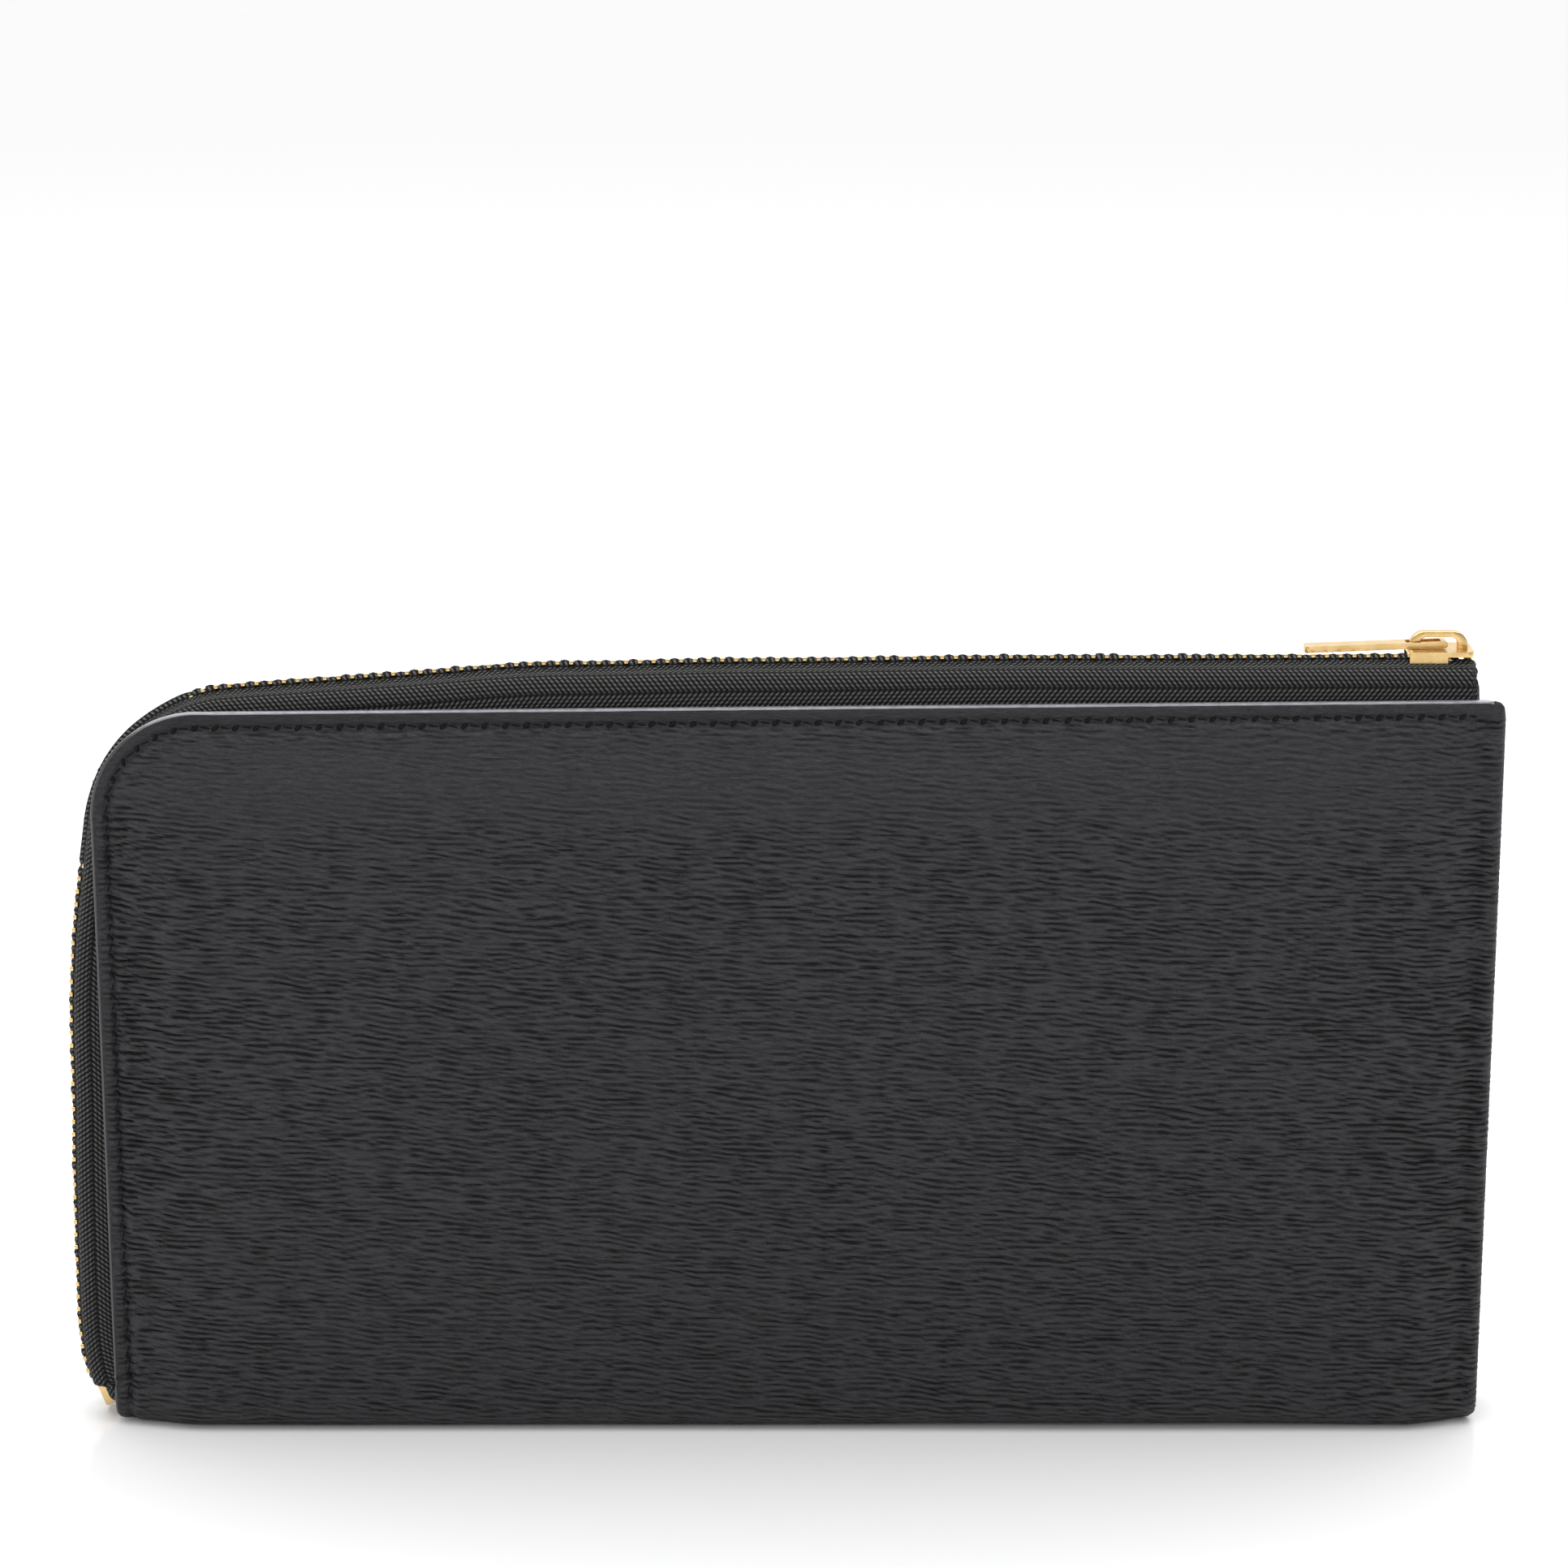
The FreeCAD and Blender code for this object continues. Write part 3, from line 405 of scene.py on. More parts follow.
def brass_material(name, brushed, roughness):
    """Polished brass with a fine brushed grain along the object's x axis."""
    material, tree, shader = new_material(name, (0.9, 0.68, 0.36), roughness, metallic=1.0)
    place = put(tree, "TexCoord", {}).outputs["Object"]
    grain = noise(tree, place, (900.0, 5200.0, 5200.0), roughness=0.5)
    tint(tree, shader, speckle(tree, 420.0, 3.0), 0.3, 0.75, (0.72, 0.49, 0.20), (0.87, 0.63, 0.31))
    drive(tree, shader, "Roughness", grain, 0.2, 0.8, roughness - 0.07, roughness + 0.10)
    bump(tree, shader, grain, 0.0016 * brushed)
    return material


def cloth_material(name, dark, light, pitch):
    """Plain twill lining: fine slanted ribs."""
    material, tree, shader = new_material(name, light, 0.75, Sheen_Weight=0.3, Sheen_Roughness=0.4,
                                          Specular_IOR_Level=0.3)
    along, across, _, vector = flat_place(tree)
    turns = 2.0 * math.pi / pitch
    rib = calc(tree, "SINE", calc(tree, "MULTIPLY", plus(tree, along, across, 0.6), turns))
    cross = calc(tree, "SINE", calc(tree, "MULTIPLY", across, turns))
    weave = levels(tree, plus(tree, rib, cross, 0.5), -1.5, 1.5, 0.0, 1.0)
    height = plus(tree, weave, noise(tree, vector, (4.0, 4.0, 1.0)), 0.4)
    tint(tree, shader, height, 0.2, 1.2, dark, light)
    bump(tree, shader, height, 0.06)
    return material


def board_material():
    """Grey fibreboard stiffener."""
    material, tree, shader = new_material("fibreboard", (0.25, 0.22, 0.18), 0.9)
    fibre = speckle(tree, 900.0, 5.0)
    tint(tree, shader, fibre, 0.35, 0.7, (0.16, 0.14, 0.11), (0.33, 0.29, 0.24))
    bump(tree, shader, fibre, 0.05)
    return material


def floor_material():
    """Glossy white table top."""
    material, tree, shader = new_material("white_table", (0.93, 0.93, 0.933), 0.10, Specular_IOR_Level=0.2)
    drive(tree, shader, "Roughness", speckle(tree, 6.0, 2.0), 0.3, 0.7, 0.09, 0.12)
    return material


LEATHER = leather_material("outer_calf", (0.0052, 0.0050, 0.0061), (0.0186, 0.0179, 0.0215))
POCKET_LEATHER = leather_material("pocket_calf", (0.007, 0.007, 0.008), (0.022, 0.022, 0.024),
                                  creases=(1.1, 1.3), relief=0.14, roughness=0.45)
EDGE_PAINT = edge_paint_material()
THREAD = thread_material()
TAPE = tape_material()
BRASS = brass_material("zip_brass", 1.0, 0.24)
TOOTH_BRASS = brass_material("tooth_brass", 0.5, 0.2)
LINING = cloth_material("twill_lining", (0.006, 0.006, 0.0065), (0.050, 0.050, 0.053), 0.6)
BOARD = board_material()


# ---------------------------------------------------------------------------------------------------
# Outer leather
# ---------------------------------------------------------------------------------------------------
def top_edge(x):
    """Height of the panel's sloping top edge."""
    return TOP_LEFT + (x - LEFT) / (RIGHT - LEFT) * (TOP_RIGHT - TOP_LEFT)


def rounded_inset(drop, radius):
    """How far a rounded corner moves the outline in, at a distance from the corner's end."""
    left = np.clip(radius - drop, 0.0, radius)
    return radius - np.sqrt(np.maximum(radius ** 2 - left ** 2, 0.0))


def from_cut_edge(x, z):
    """Distance in from the cut edge: the left side, the rounded corner and the top."""
    side, top = x - LEFT, top_edge(x) - z
    corner = CORNER - np.hypot(CORNER - side, CORNER - top)
    return np.where((side < CORNER) & (top < CORNER), corner, np.minimum(side, top))


def panel_depth(x, z):
    """Distance of the padded leather's face from the chain's plane, without its grain."""
    cut = from_cut_edge(x, z)
    puff = 0.22 * smooth(cut, 2.15, 3.3) + 0.78 * smooth(cut, 1.5, 12.5)
    side = RIGHT - x
    swell = puff * (0.12 + 0.88 * smooth(side, 1.2, 11.0))
    groove = 0.34 * np.exp(-0.5 * ((cut - STITCH_INSET) / 0.3) ** 2) * smooth(RIGHT - x, 2.0, 3.5)
    hollow = 0.42 * np.exp(-0.5 * ((side - 3.0) / 0.8) ** 2) * smooth(cut, 0.8, 3.0)
    lip = 0.12 * (1.0 - smooth(cut, 0.0, 0.45))
    dent = 0.60 * hump(z - 0.5 * (x - LEFT), 6.6, 0.5) * (1.0 - smooth(x - LEFT, 2.4, 3.4))
    sag = 0.16 * soft_noise(5, x + 200.0, z + 50.0, 34.0) * smooth(cut, 3.0, 16.0) * smooth(side, 3.0, 16.0)
    return BORDER_DEPTH + (MIDDLE_DEPTH - BORDER_DEPTH - 0.25) * swell + sag - groove - hollow - lip - dent


def drawn_in(x, z):
    """The back panel's rounded corner sits a little further in than the front's."""
    centre_x, centre_z = LEFT + CORNER, TOP_LEFT - CORNER
    out_x, out_z = np.minimum(x - centre_x, 0.0), np.maximum(z - centre_z, 0.0)
    turn = np.arctan2(out_z, -out_x + 1e-9)
    pull = 1.0 - 0.085 * np.sin(2.0 * turn) ** 2 * ((out_x < 0.0) & (out_z > 0.0))
    return centre_x + (x - centre_x) * pull, centre_z + (z - centre_z) * pull


def row_drops():
    """Distances of the panel's rows below the top edge: close together where the corner starts."""
    turns = np.radians(np.arange(0.0, 13.0, 2.5))
    first = CORNER * (1.0 - np.cos(turns))
    step = 0.25
    count = int(round((TOP_LEFT - BEND - first[-1]) / step))
    return np.concatenate([first, first[-1] + step * np.arange(1, count + 1)])


def leather_rows(side):
    """Base points of one outer piece, row by row: down the panel, round the bottom bend, and underneath."""
    offsets = np.array([0.0, 0.2, 0.5, 0.9, 1.3, 1.6, 1.8, 2.0, 2.2, 2.45, 2.8, 3.3, 3.9, 4.6, 5.4, 6.3])
    shares = np.linspace(0.0, 1.0, 166)[1:]
    bends = np.radians(np.linspace(0.0, 90.0, 22)[1:])
    seam = SEAM_UNDER if side == FRONT else -SEAM_UNDER
    drops = row_drops()
    rows = [(LEFT + float(rounded_inset(drop, CORNER)), drop, 0.0, 0.0) for drop in drops]
    rows += [(LEFT, drops[-1], angle, 0.0) for angle in bends]
    rows += [(LEFT, drops[-1], math.pi / 2, under) for under in np.linspace(0.0, 1.0, 8)[1:]]
    points = []
    for left, drop, angle, under in rows:
        height = BEND * (1.0 - math.sin(angle))
        foot = float(rounded_inset(height, FOOT_CORNER)) if angle > 0 else 0.0
        left = left + foot
        right = RIGHT - max(float(rounded_inset(drop, SQUARE_CORNER)), foot)
        roll = ROLL * min(1.0, 0.25 + 0.75 * drop / 3.0) * (1.0 - 0.4 * foot / FOOT_CORNER)
        near = left + offsets
        x = np.concatenate([near, near[-1] + shares * (right - roll - near[-1])])
        stretch = (top_edge(x) - BEND) / (TOP_LEFT - BEND) if drop > CORNER else 1.0
        z_panel = np.maximum(top_edge(x) - drop * stretch, BEND)
        depth = panel_depth(x, z_panel)
        edge_turn = np.linspace(0.0, math.pi, 11)[1:]
        edge_x = right - roll + roll * np.sin(edge_turn)
        edge_depth = depth[-1] - roll * (1.0 - np.cos(edge_turn))
        flange_x = np.linspace(right - roll, FLANGE_END - foot, 3)[1:]
        x = np.concatenate([x, edge_x, flange_x])
        depth = np.concatenate([depth, edge_depth, np.full(2, edge_depth[-1])])
        z = np.concatenate([z_panel, np.full(len(edge_x) + 2, z_panel[-1])])
        radius = np.minimum(BEND, depth - 0.2)
        if angle > 0:
            z = np.full(len(x), height)
            depth = depth - radius * (1.0 - math.cos(angle))
            depth = depth + (seam - depth) * under
        lift = SOLE_LIFT * smooth(x, -5.0, 30.0) * (1.0 - smooth(x, 62.0, 84.0))
        z = z + lift * (1.0 - smooth(z, 0.0, 5.0))
        if side == FRONT:
            at_corner = smooth(x, 86.0, 94.0) * (1.0 - smooth(drop, 0.0, 3.0))
            x = x + 0.42 * (smooth(x, 60.0, 94.0) - at_corner)
        else:
            x = x - 1.5 * smooth(x, 60.0, 94.0) * smooth(z, 88.0, 102.0)
            x, z = drawn_in(x, z)
        points.append(np.stack([x, side * depth, z], -1))
    return np.array(points), len(drops)


def surface_normals(points, side):
    """Unit normals of a grid of points, looking away from the wallet's middle."""
    down = np.gradient(points, axis=0)
    across = np.gradient(points, axis=1)
    normals = np.cross(across, down) * -side
    normals = normals / np.maximum(np.linalg.norm(normals, axis=-1, keepdims=True), 1e-9)
    return -normals if (normals[200, 80, 1] * side) < 0 else normals


def unrolled(points):
    """Distance travelled along each column of a grid, from its first row."""
    steps = np.linalg.norm(np.diff(points, axis=0), axis=-1)
    return np.concatenate([np.zeros((1, points.shape[1])), np.cumsum(steps, axis=0)])


def grain_height(seed, x, run):
    """Creases of the leather's face in millimetres, at a place across it and a distance down it."""
    shape, step = (1024, 256), (0.25, 1.0)
    fields = [streaks(seed, shape, step, 0.84, 2.3, 0.22),
              streaks(seed + 1, shape, step, 1.2, 3.0, 0.3),
              streaks(seed + 2, shape, step, 0.6, 1.3)]
    warp = 0.34 * soft_noise(seed + 3, x, run, 26.0) + 0.16 * soft_noise(seed + 4, x, run, 4.5)
    warp = warp + 0.09 * soft_noise(seed + 5, x, run, 2.2)
    tilt = 0.008 * (x - LEFT)
    row = (run + warp + tilt) / step[0]
    column = (x - LEFT) / step[1]
    main, wide, fine = [sample(field, row, column) for field in fields]
    creased = 0.9 * np.tanh(2.0 * main + 0.35) + 0.52 * np.tanh(1.5 * fine) + 0.10 * wide
    return 0.72 * creased


def grain_strength(x, z):
    """How strong the creases are: strongest beside the left stitching and along the right fold."""
    cut, side = from_cut_edge(x, z), RIGHT - x
    left = np.exp(-np.maximum(x - LEFT - 4.0, 0.0) / 6.0) * smooth(z, 2.0, 12.0)
    right = np.exp(-np.maximum(side - 5.0, 0.0) / 7.0) * smooth(side, 0.2, 2.0)
    right = right + 0.9 * hump(side, 2.6, 1.1)
    crown = np.exp(-np.maximum(top_edge(x) - z - 2.8, 0.0) / 1.6)
    calm = 1.0 - 0.5 * hump(x, -74.0, 16.0) * hump(z, 88.0, 12.0)
    patch = 1.0 + 0.12 * soft_noise(77, x + 300.0, z, 30.0)
    rising = 0.66 + 0.34 * smooth(z, 8.0, 50.0)
    deep = 0.020 + 0.085 * left + 0.040 * right + 0.032 * crown
    border = 0.008 + 0.045 * smooth(cut, 0.4, 1.0) * (1.0 - smooth(z, 84.0, 94.0))
    return calm * patch * rising * deep * smooth(cut, 2.0, 3.0) + border


def ladder(fine, coarse, ratio):
    """Faces between two edges of a sheet, where one has several points to each of the other's."""
    faces = []
    for step in range(len(coarse) - 1):
        near = list(fine[step * ratio:(step + 1) * ratio + 1])
        faces.append(near + [coarse[step + 1], coarse[step]])
    return faces


def thick_sheet(name, outer, inner, flat, ratios, material):
    """Close an outer face and a coarser inner face into one solid sheet."""
    rows, columns = outer.shape[:2]
    in_rows, in_columns = inner.shape[:2]
    start = rows * columns
    points = np.concatenate([outer.reshape(-1, 3), inner.reshape(-1, 3)])
    faces = [list(f) for f in grid_faces(rows, columns)]
    faces += [list(f) for f in grid_faces(in_rows, in_columns, start, flip=True)]
    out_index = np.arange(start).reshape(rows, columns)
    in_index = start + np.arange(in_rows * in_columns).reshape(in_rows, in_columns)
    row_ratio, column_ratio = ratios
    for out_edge, in_edge, ratio in [(out_index[:, 0], in_index[:, 0], row_ratio),
                                     (out_index[:, -1], in_index[:, -1], row_ratio),
                                     (out_index[0], in_index[0], column_ratio),
                                     (out_index[-1], in_index[-1], column_ratio)]:
        faces += ladder(out_edge, in_edge, ratio)
    flats = np.concatenate([flat.reshape(-1, 3), np.zeros((in_rows * in_columns, 3))])
    flats[start:, :2] = points[start:, [0, 2]]
    return outward(make_piece(name, points, faces, flats, material))


def trimmed(points, row_ratio, column_ratio):
    """Drop rows and columns from a grid's middle so that it divides evenly for its coarse inner face."""
    rows, columns = points.shape[:2]
    spare_rows, spare_columns = (rows - 1) % row_ratio, (columns - 1) % column_ratio
    keep_rows = [r for r in range(rows) if not rows - 8 - spare_rows <= r < rows - 8]
    keep_columns = [c for c in range(columns) if not 60 <= c < 60 + spare_columns]
    return keep_rows, keep_columns


def outer_leather(side):
    """One half of the outer leather: its panel, its bottom bend, and its part of the sole."""
    base, _ = leather_rows(side)
    ratios = (6, 4)
    keep_rows, keep_columns = trimmed(base, *ratios)
    base = base[np.ix_(keep_rows, keep_columns)]
    normals = surface_normals(base, side)
    run = unrolled(base)
    x, z = base[..., 0], base[..., 2]
    height = grain_height(11 + 20 * (side == BACK), x * side, run)
    strength = grain_strength(x, z)
    strength[0] = 0.0
    strength[:, 0] = 0.0
    outer = base + normals * (height * strength)[..., None]
    outer[..., 2] = np.maximum(outer[..., 2], 0.0)
    thick = np.full(base.shape[:2], LEATHER_THICK)
    thick[:, -TURNED_COLUMNS:] = TURNED_THICK
    inner = (base - normals * thick[..., None])[::ratios[0], ::ratios[1]]
    inner[..., 1] = side * np.clip(side * inner[..., 1], -SEAM_UNDER, None)
    # The third number is the grain's depth. The leather's colour follows it, darker in the troughs as painted
    # shade and lighter on the ridges as painted highlight, and most of all where the creases are strongest.
    flat = np.stack([x, -run, height * strength / GRAIN_UNIT], -1)
    piece = thick_sheet(HALF_NAMES[side] + "_outer_leather", outer, inner, flat, ratios, LEATHER)
    sharpen(piece, 50.0)
    nodes = ["front_leather"] if side == FRONT else ["back_leather", "bottom_leather"]
    settle(piece, side, "outer_leather", *nodes)
    edge_paint(side, base, normals)


# ---------------------------------------------------------------------------------------------------
# Painted cut edge and stitching
# ---------------------------------------------------------------------------------------------------
THREAD_TURNS = np.radians(np.arange(0, 360, 60))


def add_thread(mesh_parts, xs, zs, depths, crosses, wides, talls, marks):
    """Add a closed tube of thread to a mesh's points, flats and faces.

    It runs through the middles (x, depth, z). Its half widths lie along crosses, which are directions (x, z),
    and its half heights in depth. The marks are distances along the thread.
    """
    points, flats, faces = mesh_parts
    faces.extend(tube_faces(len(marks), len(THREAD_TURNS), len(points)))
    for x, z, depth, cross, wide, tall, mark in zip(xs, zs, depths, crosses, wides, talls, marks):
        for turn in THREAD_TURNS:
            reach = wide * math.cos(turn)
            points.append((x + cross[0] * reach, depth + tall * math.sin(turn), z + cross[1] * reach))
            flats.append((mark, turn * 0.3, 0.0))


def swept(name, rings, flat, material):
    """A closed tube through rings of points: rings is stations by points by 3."""
    faces = tube_faces(*rings.shape[:2])
    return outward(make_piece(name, rings.reshape(-1, 3), faces, flat.reshape(-1, 3), material))


def edge_paint(side, base, normals):
    """A rounded bead of paint over the cut edge: under the foot, up the left side and along the top."""
    path, facing = [np.concatenate([grid[::-1, 0], grid[0, 1:-TURNED_COLUMNS]]) for grid in (base, normals)]
    run = np.gradient(path, axis=0)
    run /= np.linalg.norm(run, axis=-1, keepdims=True)
    out = np.cross(run, facing) * side
    out /= np.linalg.norm(out, axis=-1, keepdims=True)
    if out[len(out) // 4, 0] > 0:
        out = -out
    middle = path - facing * (LEATHER_THICK / 2)
    turns = np.radians(np.linspace(0.0, 180.0, 9))
    half, bulge, root = LEATHER_THICK / 2 + 0.02, 0.20, 0.25
    ring = [(half * math.cos(a), bulge * math.sin(a)) for a in turns] + [(-half, -root), (half, -root)]
    rings = np.stack([middle + facing * a + out * b for a, b in ring], axis=1)
    distance = np.concatenate([[0.0], np.cumsum(np.linalg.norm(np.diff(path, axis=0), axis=-1))])
    flat = np.zeros(rings.shape)
    flat[..., 0] = distance[:, None]
    flat[..., 1] = np.arange(len(ring))[None, :] * 0.2
    # The third number says how far the edge faces up; the paint's colour is lightened there as a painted
    # highlight.
    flat[..., 2] = smooth(out[:, 2], 0.55, 1.0)[:, None]
    rings[..., 2] = np.maximum(rings[..., 2], 0.0)
    settle(swept(HALF_NAMES[side] + "_edge_paint", rings, flat, EDGE_PAINT), side, "outer_leather")


def stitch_line(distance):
    """Points (x, z) and headings along the stitching, from its foot up the left side and over the top."""
    arc = CORNER - STITCH_INSET
    rise = TOP_LEFT - CORNER - STITCH_FOOT
    turn_length = arc * math.pi / 2
    d = np.asarray(distance, float)
    up = np.clip(d, 0.0, rise)
    turn = np.clip(d - rise, 0.0, turn_length) / arc
    along = np.maximum(d - rise - turn_length, 0.0)
    x = LEFT + STITCH_INSET + arc * (1.0 - np.cos(turn)) + along
    z = STITCH_FOOT + up + arc * np.sin(turn)
    slope = (TOP_RIGHT - TOP_LEFT) / (RIGHT - LEFT)
    z = z + np.maximum(x - LEFT - CORNER, 0.0) * slope + 0.13 * smooth(turn, 0.0, 1.5)
    heading = math.pi / 2 - turn
    return x, z, heading


def stitching(side):
    """Black thread stitches that slant across their line, each diving into its own awl hole."""
    rise = TOP_LEFT - CORNER - STITCH_FOOT
    whole = rise + (CORNER - STITCH_INSET) * math.pi / 2 + (RIGHT - 4.0 - LEFT - CORNER)
    count = int(whole / STITCH_PITCH)
    random = np.random.default_rng(8 + side)
    points, flats, faces = [], [], []

    def thread(distance, cross, lift, thick):
        x, z, heading = stitch_line(distance)
        crosses = np.stack([-np.sin(heading), np.cos(heading)], -1)
        px, pz = x + crosses[:, 0] * cross, z + crosses[:, 1] * cross
        px, pz = (px, pz) if side == FRONT else drawn_in(px, pz)
        depths = side * (panel_depth(x, z) + lift)
        add_thread((points, flats, faces), px, pz, depths, crosses, thick, side * 0.85 * thick, distance)

    stitch = np.array([-0.62, -0.5, -0.25, 0.0, 0.25, 0.5, 0.62])
    stitch_lift = np.array([-0.30, 0.0, 0.15, 0.2, 0.15, 0.0, -0.30])
    stitch_thick = np.array([0.16, 0.26, 0.31, 0.32, 0.28, 0.2, 0.12])
    link = np.array([0.55, 0.9, 1.4, 1.9, 2.25])
    link_cross = np.linspace(0.24, -0.24, 5)
    link_lift = np.array([-0.12, 0.0, 0.03, 0.0, -0.12])
    link_thick = np.array([0.13, 0.14, 0.14, 0.14, 0.13])
    for number in range(count):
        middle = (number + 0.5 + 0.02 * random.standard_normal()) * STITCH_PITCH
        wander = 0.04 * random.standard_normal()
        thread(middle + stitch, stitch * 0.72 + wander, stitch_lift, stitch_thick)
        thread(middle + link, link_cross + wander, link_lift, link_thick)
    piece = outward(make_piece(HALF_NAMES[side] + "_stitching", points, faces, flats, THREAD))
    settle(piece, side, "outer_leather")


# ---------------------------------------------------------------------------------------------------
# Zip: tapes, teeth, stops and sliders
# ---------------------------------------------------------------------------------------------------
def chain_place(distance):
    """Points (x, z) and headings at distances along the chain from its right end."""
    distance = np.asarray(distance, float)
    x = np.full(distance.shape, CHAIN_START)
    z = np.full(distance.shape, CHAIN_HEIGHT)
    heading = np.full(distance.shape, math.pi)
    turned, done = math.pi, 0.0
    for length, radius in CHAIN_RUNS:
        here = np.clip(distance - done, 0.0, length)
        if radius is None:
            x = x + here * math.cos(turned)
            z = z + here * math.sin(turned)
        else:
            x = x + radius * (np.sin(turned + here / radius) - math.sin(turned))
            z = z - radius * (np.cos(turned + here / radius) - math.cos(turned))
            heading = heading + here / radius
            turned += length / radius
        done += length
    sag = sum(amount * smooth(distance, start, end) for amount, start, end in SAG_STEPS)
    sag = sag + sum(amount * hump(distance, middle, width) for amount, middle, width in SAG_HUMPS)
    return x - sag * np.sin(heading), z + sag * np.cos(heading), heading


def gathered(distance):
    """1 round the corner, where the tape's cord closes over the teeth, and 0 elsewhere."""
    return smooth(distance, 173.0, 177.0) * (1.0 - smooth(distance, 206.0, 210.0))


def lean(distance):
    """How far the chain leans back: its front row stands higher than its back row by this slope."""
    return 0.27 * (1.0 - 0.7 * smooth(distance, 160.0, 200.0))


def tape_section(bulge_height):
    """The tape's section as rows of: middle out, middle up, normal out, normal up, offset.

    The first set is squeezed by a tooth, the second bulges between two teeth, the third is the flat end.
    """
    turns = np.radians(np.linspace(-50.0, -310.0, 13))
    bend_centre, bend_middle, wall_out = (3.7, -1.7), 1.7, 5.4
    half = 0.25

    def cord(centre, wide, tall):
        return [(centre + wide * math.cos(a), 0.0, 0.0, 1.0, tall * math.sin(a)) for a in turns]

    def bend(angles, offset):
        return [(bend_centre[0] + bend_middle * math.cos(a), bend_centre[1] + bend_middle * math.sin(a),
                 math.cos(a), math.sin(a), offset) for a in np.radians(angles)]

    def whole(cord_rows, near, far):
        rows = cord_rows + [(out, 0.0, 0.0, 1.0, up) for out, up in near]
        rows += bend(np.linspace(90.0, 0.0, 10), half)
        rows += [(wall_out, up, 1.0, 0.0, half) for up in np.linspace(-2.4, -9.2, 9)]
        rows += [(wall_out, up, 1.0, 0.0, -half) for up in (-9.2, -5.0, -2.0)]
        rows += bend(np.linspace(0.0, 90.0, 5), -half)
        rows += [(out, 0.0, 0.0, 1.0, -up) for out, up in far]
        return np.array(rows)

    squeezed = whole(cord(1.25, 0.36, 0.44), [(1.75, 0.27), (2.3, half), (2.9, half), (3.4, half)],
                     [(3.4, half), (2.5, half), (1.75, 0.27)])
    bulging = whole(cord(1.62, 0.80, bulge_height), [(2.42, 0.50), (2.72, 0.31), (3.05, 0.26), (3.4, half)],
                    [(3.4, half), (2.72, 0.31), (2.42, 0.50)])
    plain = whole(cord(1.25, 0.30, half), [(1.75, half), (2.3, half), (2.9, half), (3.4, half)],
                  [(3.4, half), (2.5, half), (1.75, half)])
    return squeezed, bulging, plain


def cord_bulge(distance, side):
    """How full the cord is: 0 where a tooth squeezes it, about 1 between two teeth and round the corner."""
    phase = (distance - FIRST_TOOTH) / TOOTH_PITCH - TOOTH_SHIFT[side]
    from_tooth = 0.5 - np.abs(phase - np.floor(phase) - 0.5)
    bulge = smooth(from_tooth, 0.09, 0.21) * (0.86 + 0.14 * smooth(from_tooth, 0.3, 0.5))
    random = np.random.default_rng(30 + side)
    numbers = np.floor(phase).astype(int)
    lots = 1.0 + 0.10 * random.standard_normal(numbers.max() - numbers.min() + 1)
    bulge = np.clip(bulge * lots[numbers - numbers.min()], 0.0, 1.15)
    return np.maximum(bulge, gathered(distance))


def cordless(distance):
    """1 where the tape has no cord, before the top stop and beside the bottom stop, and 0 elsewhere."""
    top_stop = CHAIN_START - TOP_STOP_END
    before = 1.0 - smooth(distance, top_stop - 0.3, top_stop + 0.5)
    return np.maximum(before, smooth(distance, CHAIN_LENGTH - 5.0, CHAIN_LENGTH - 4.4))


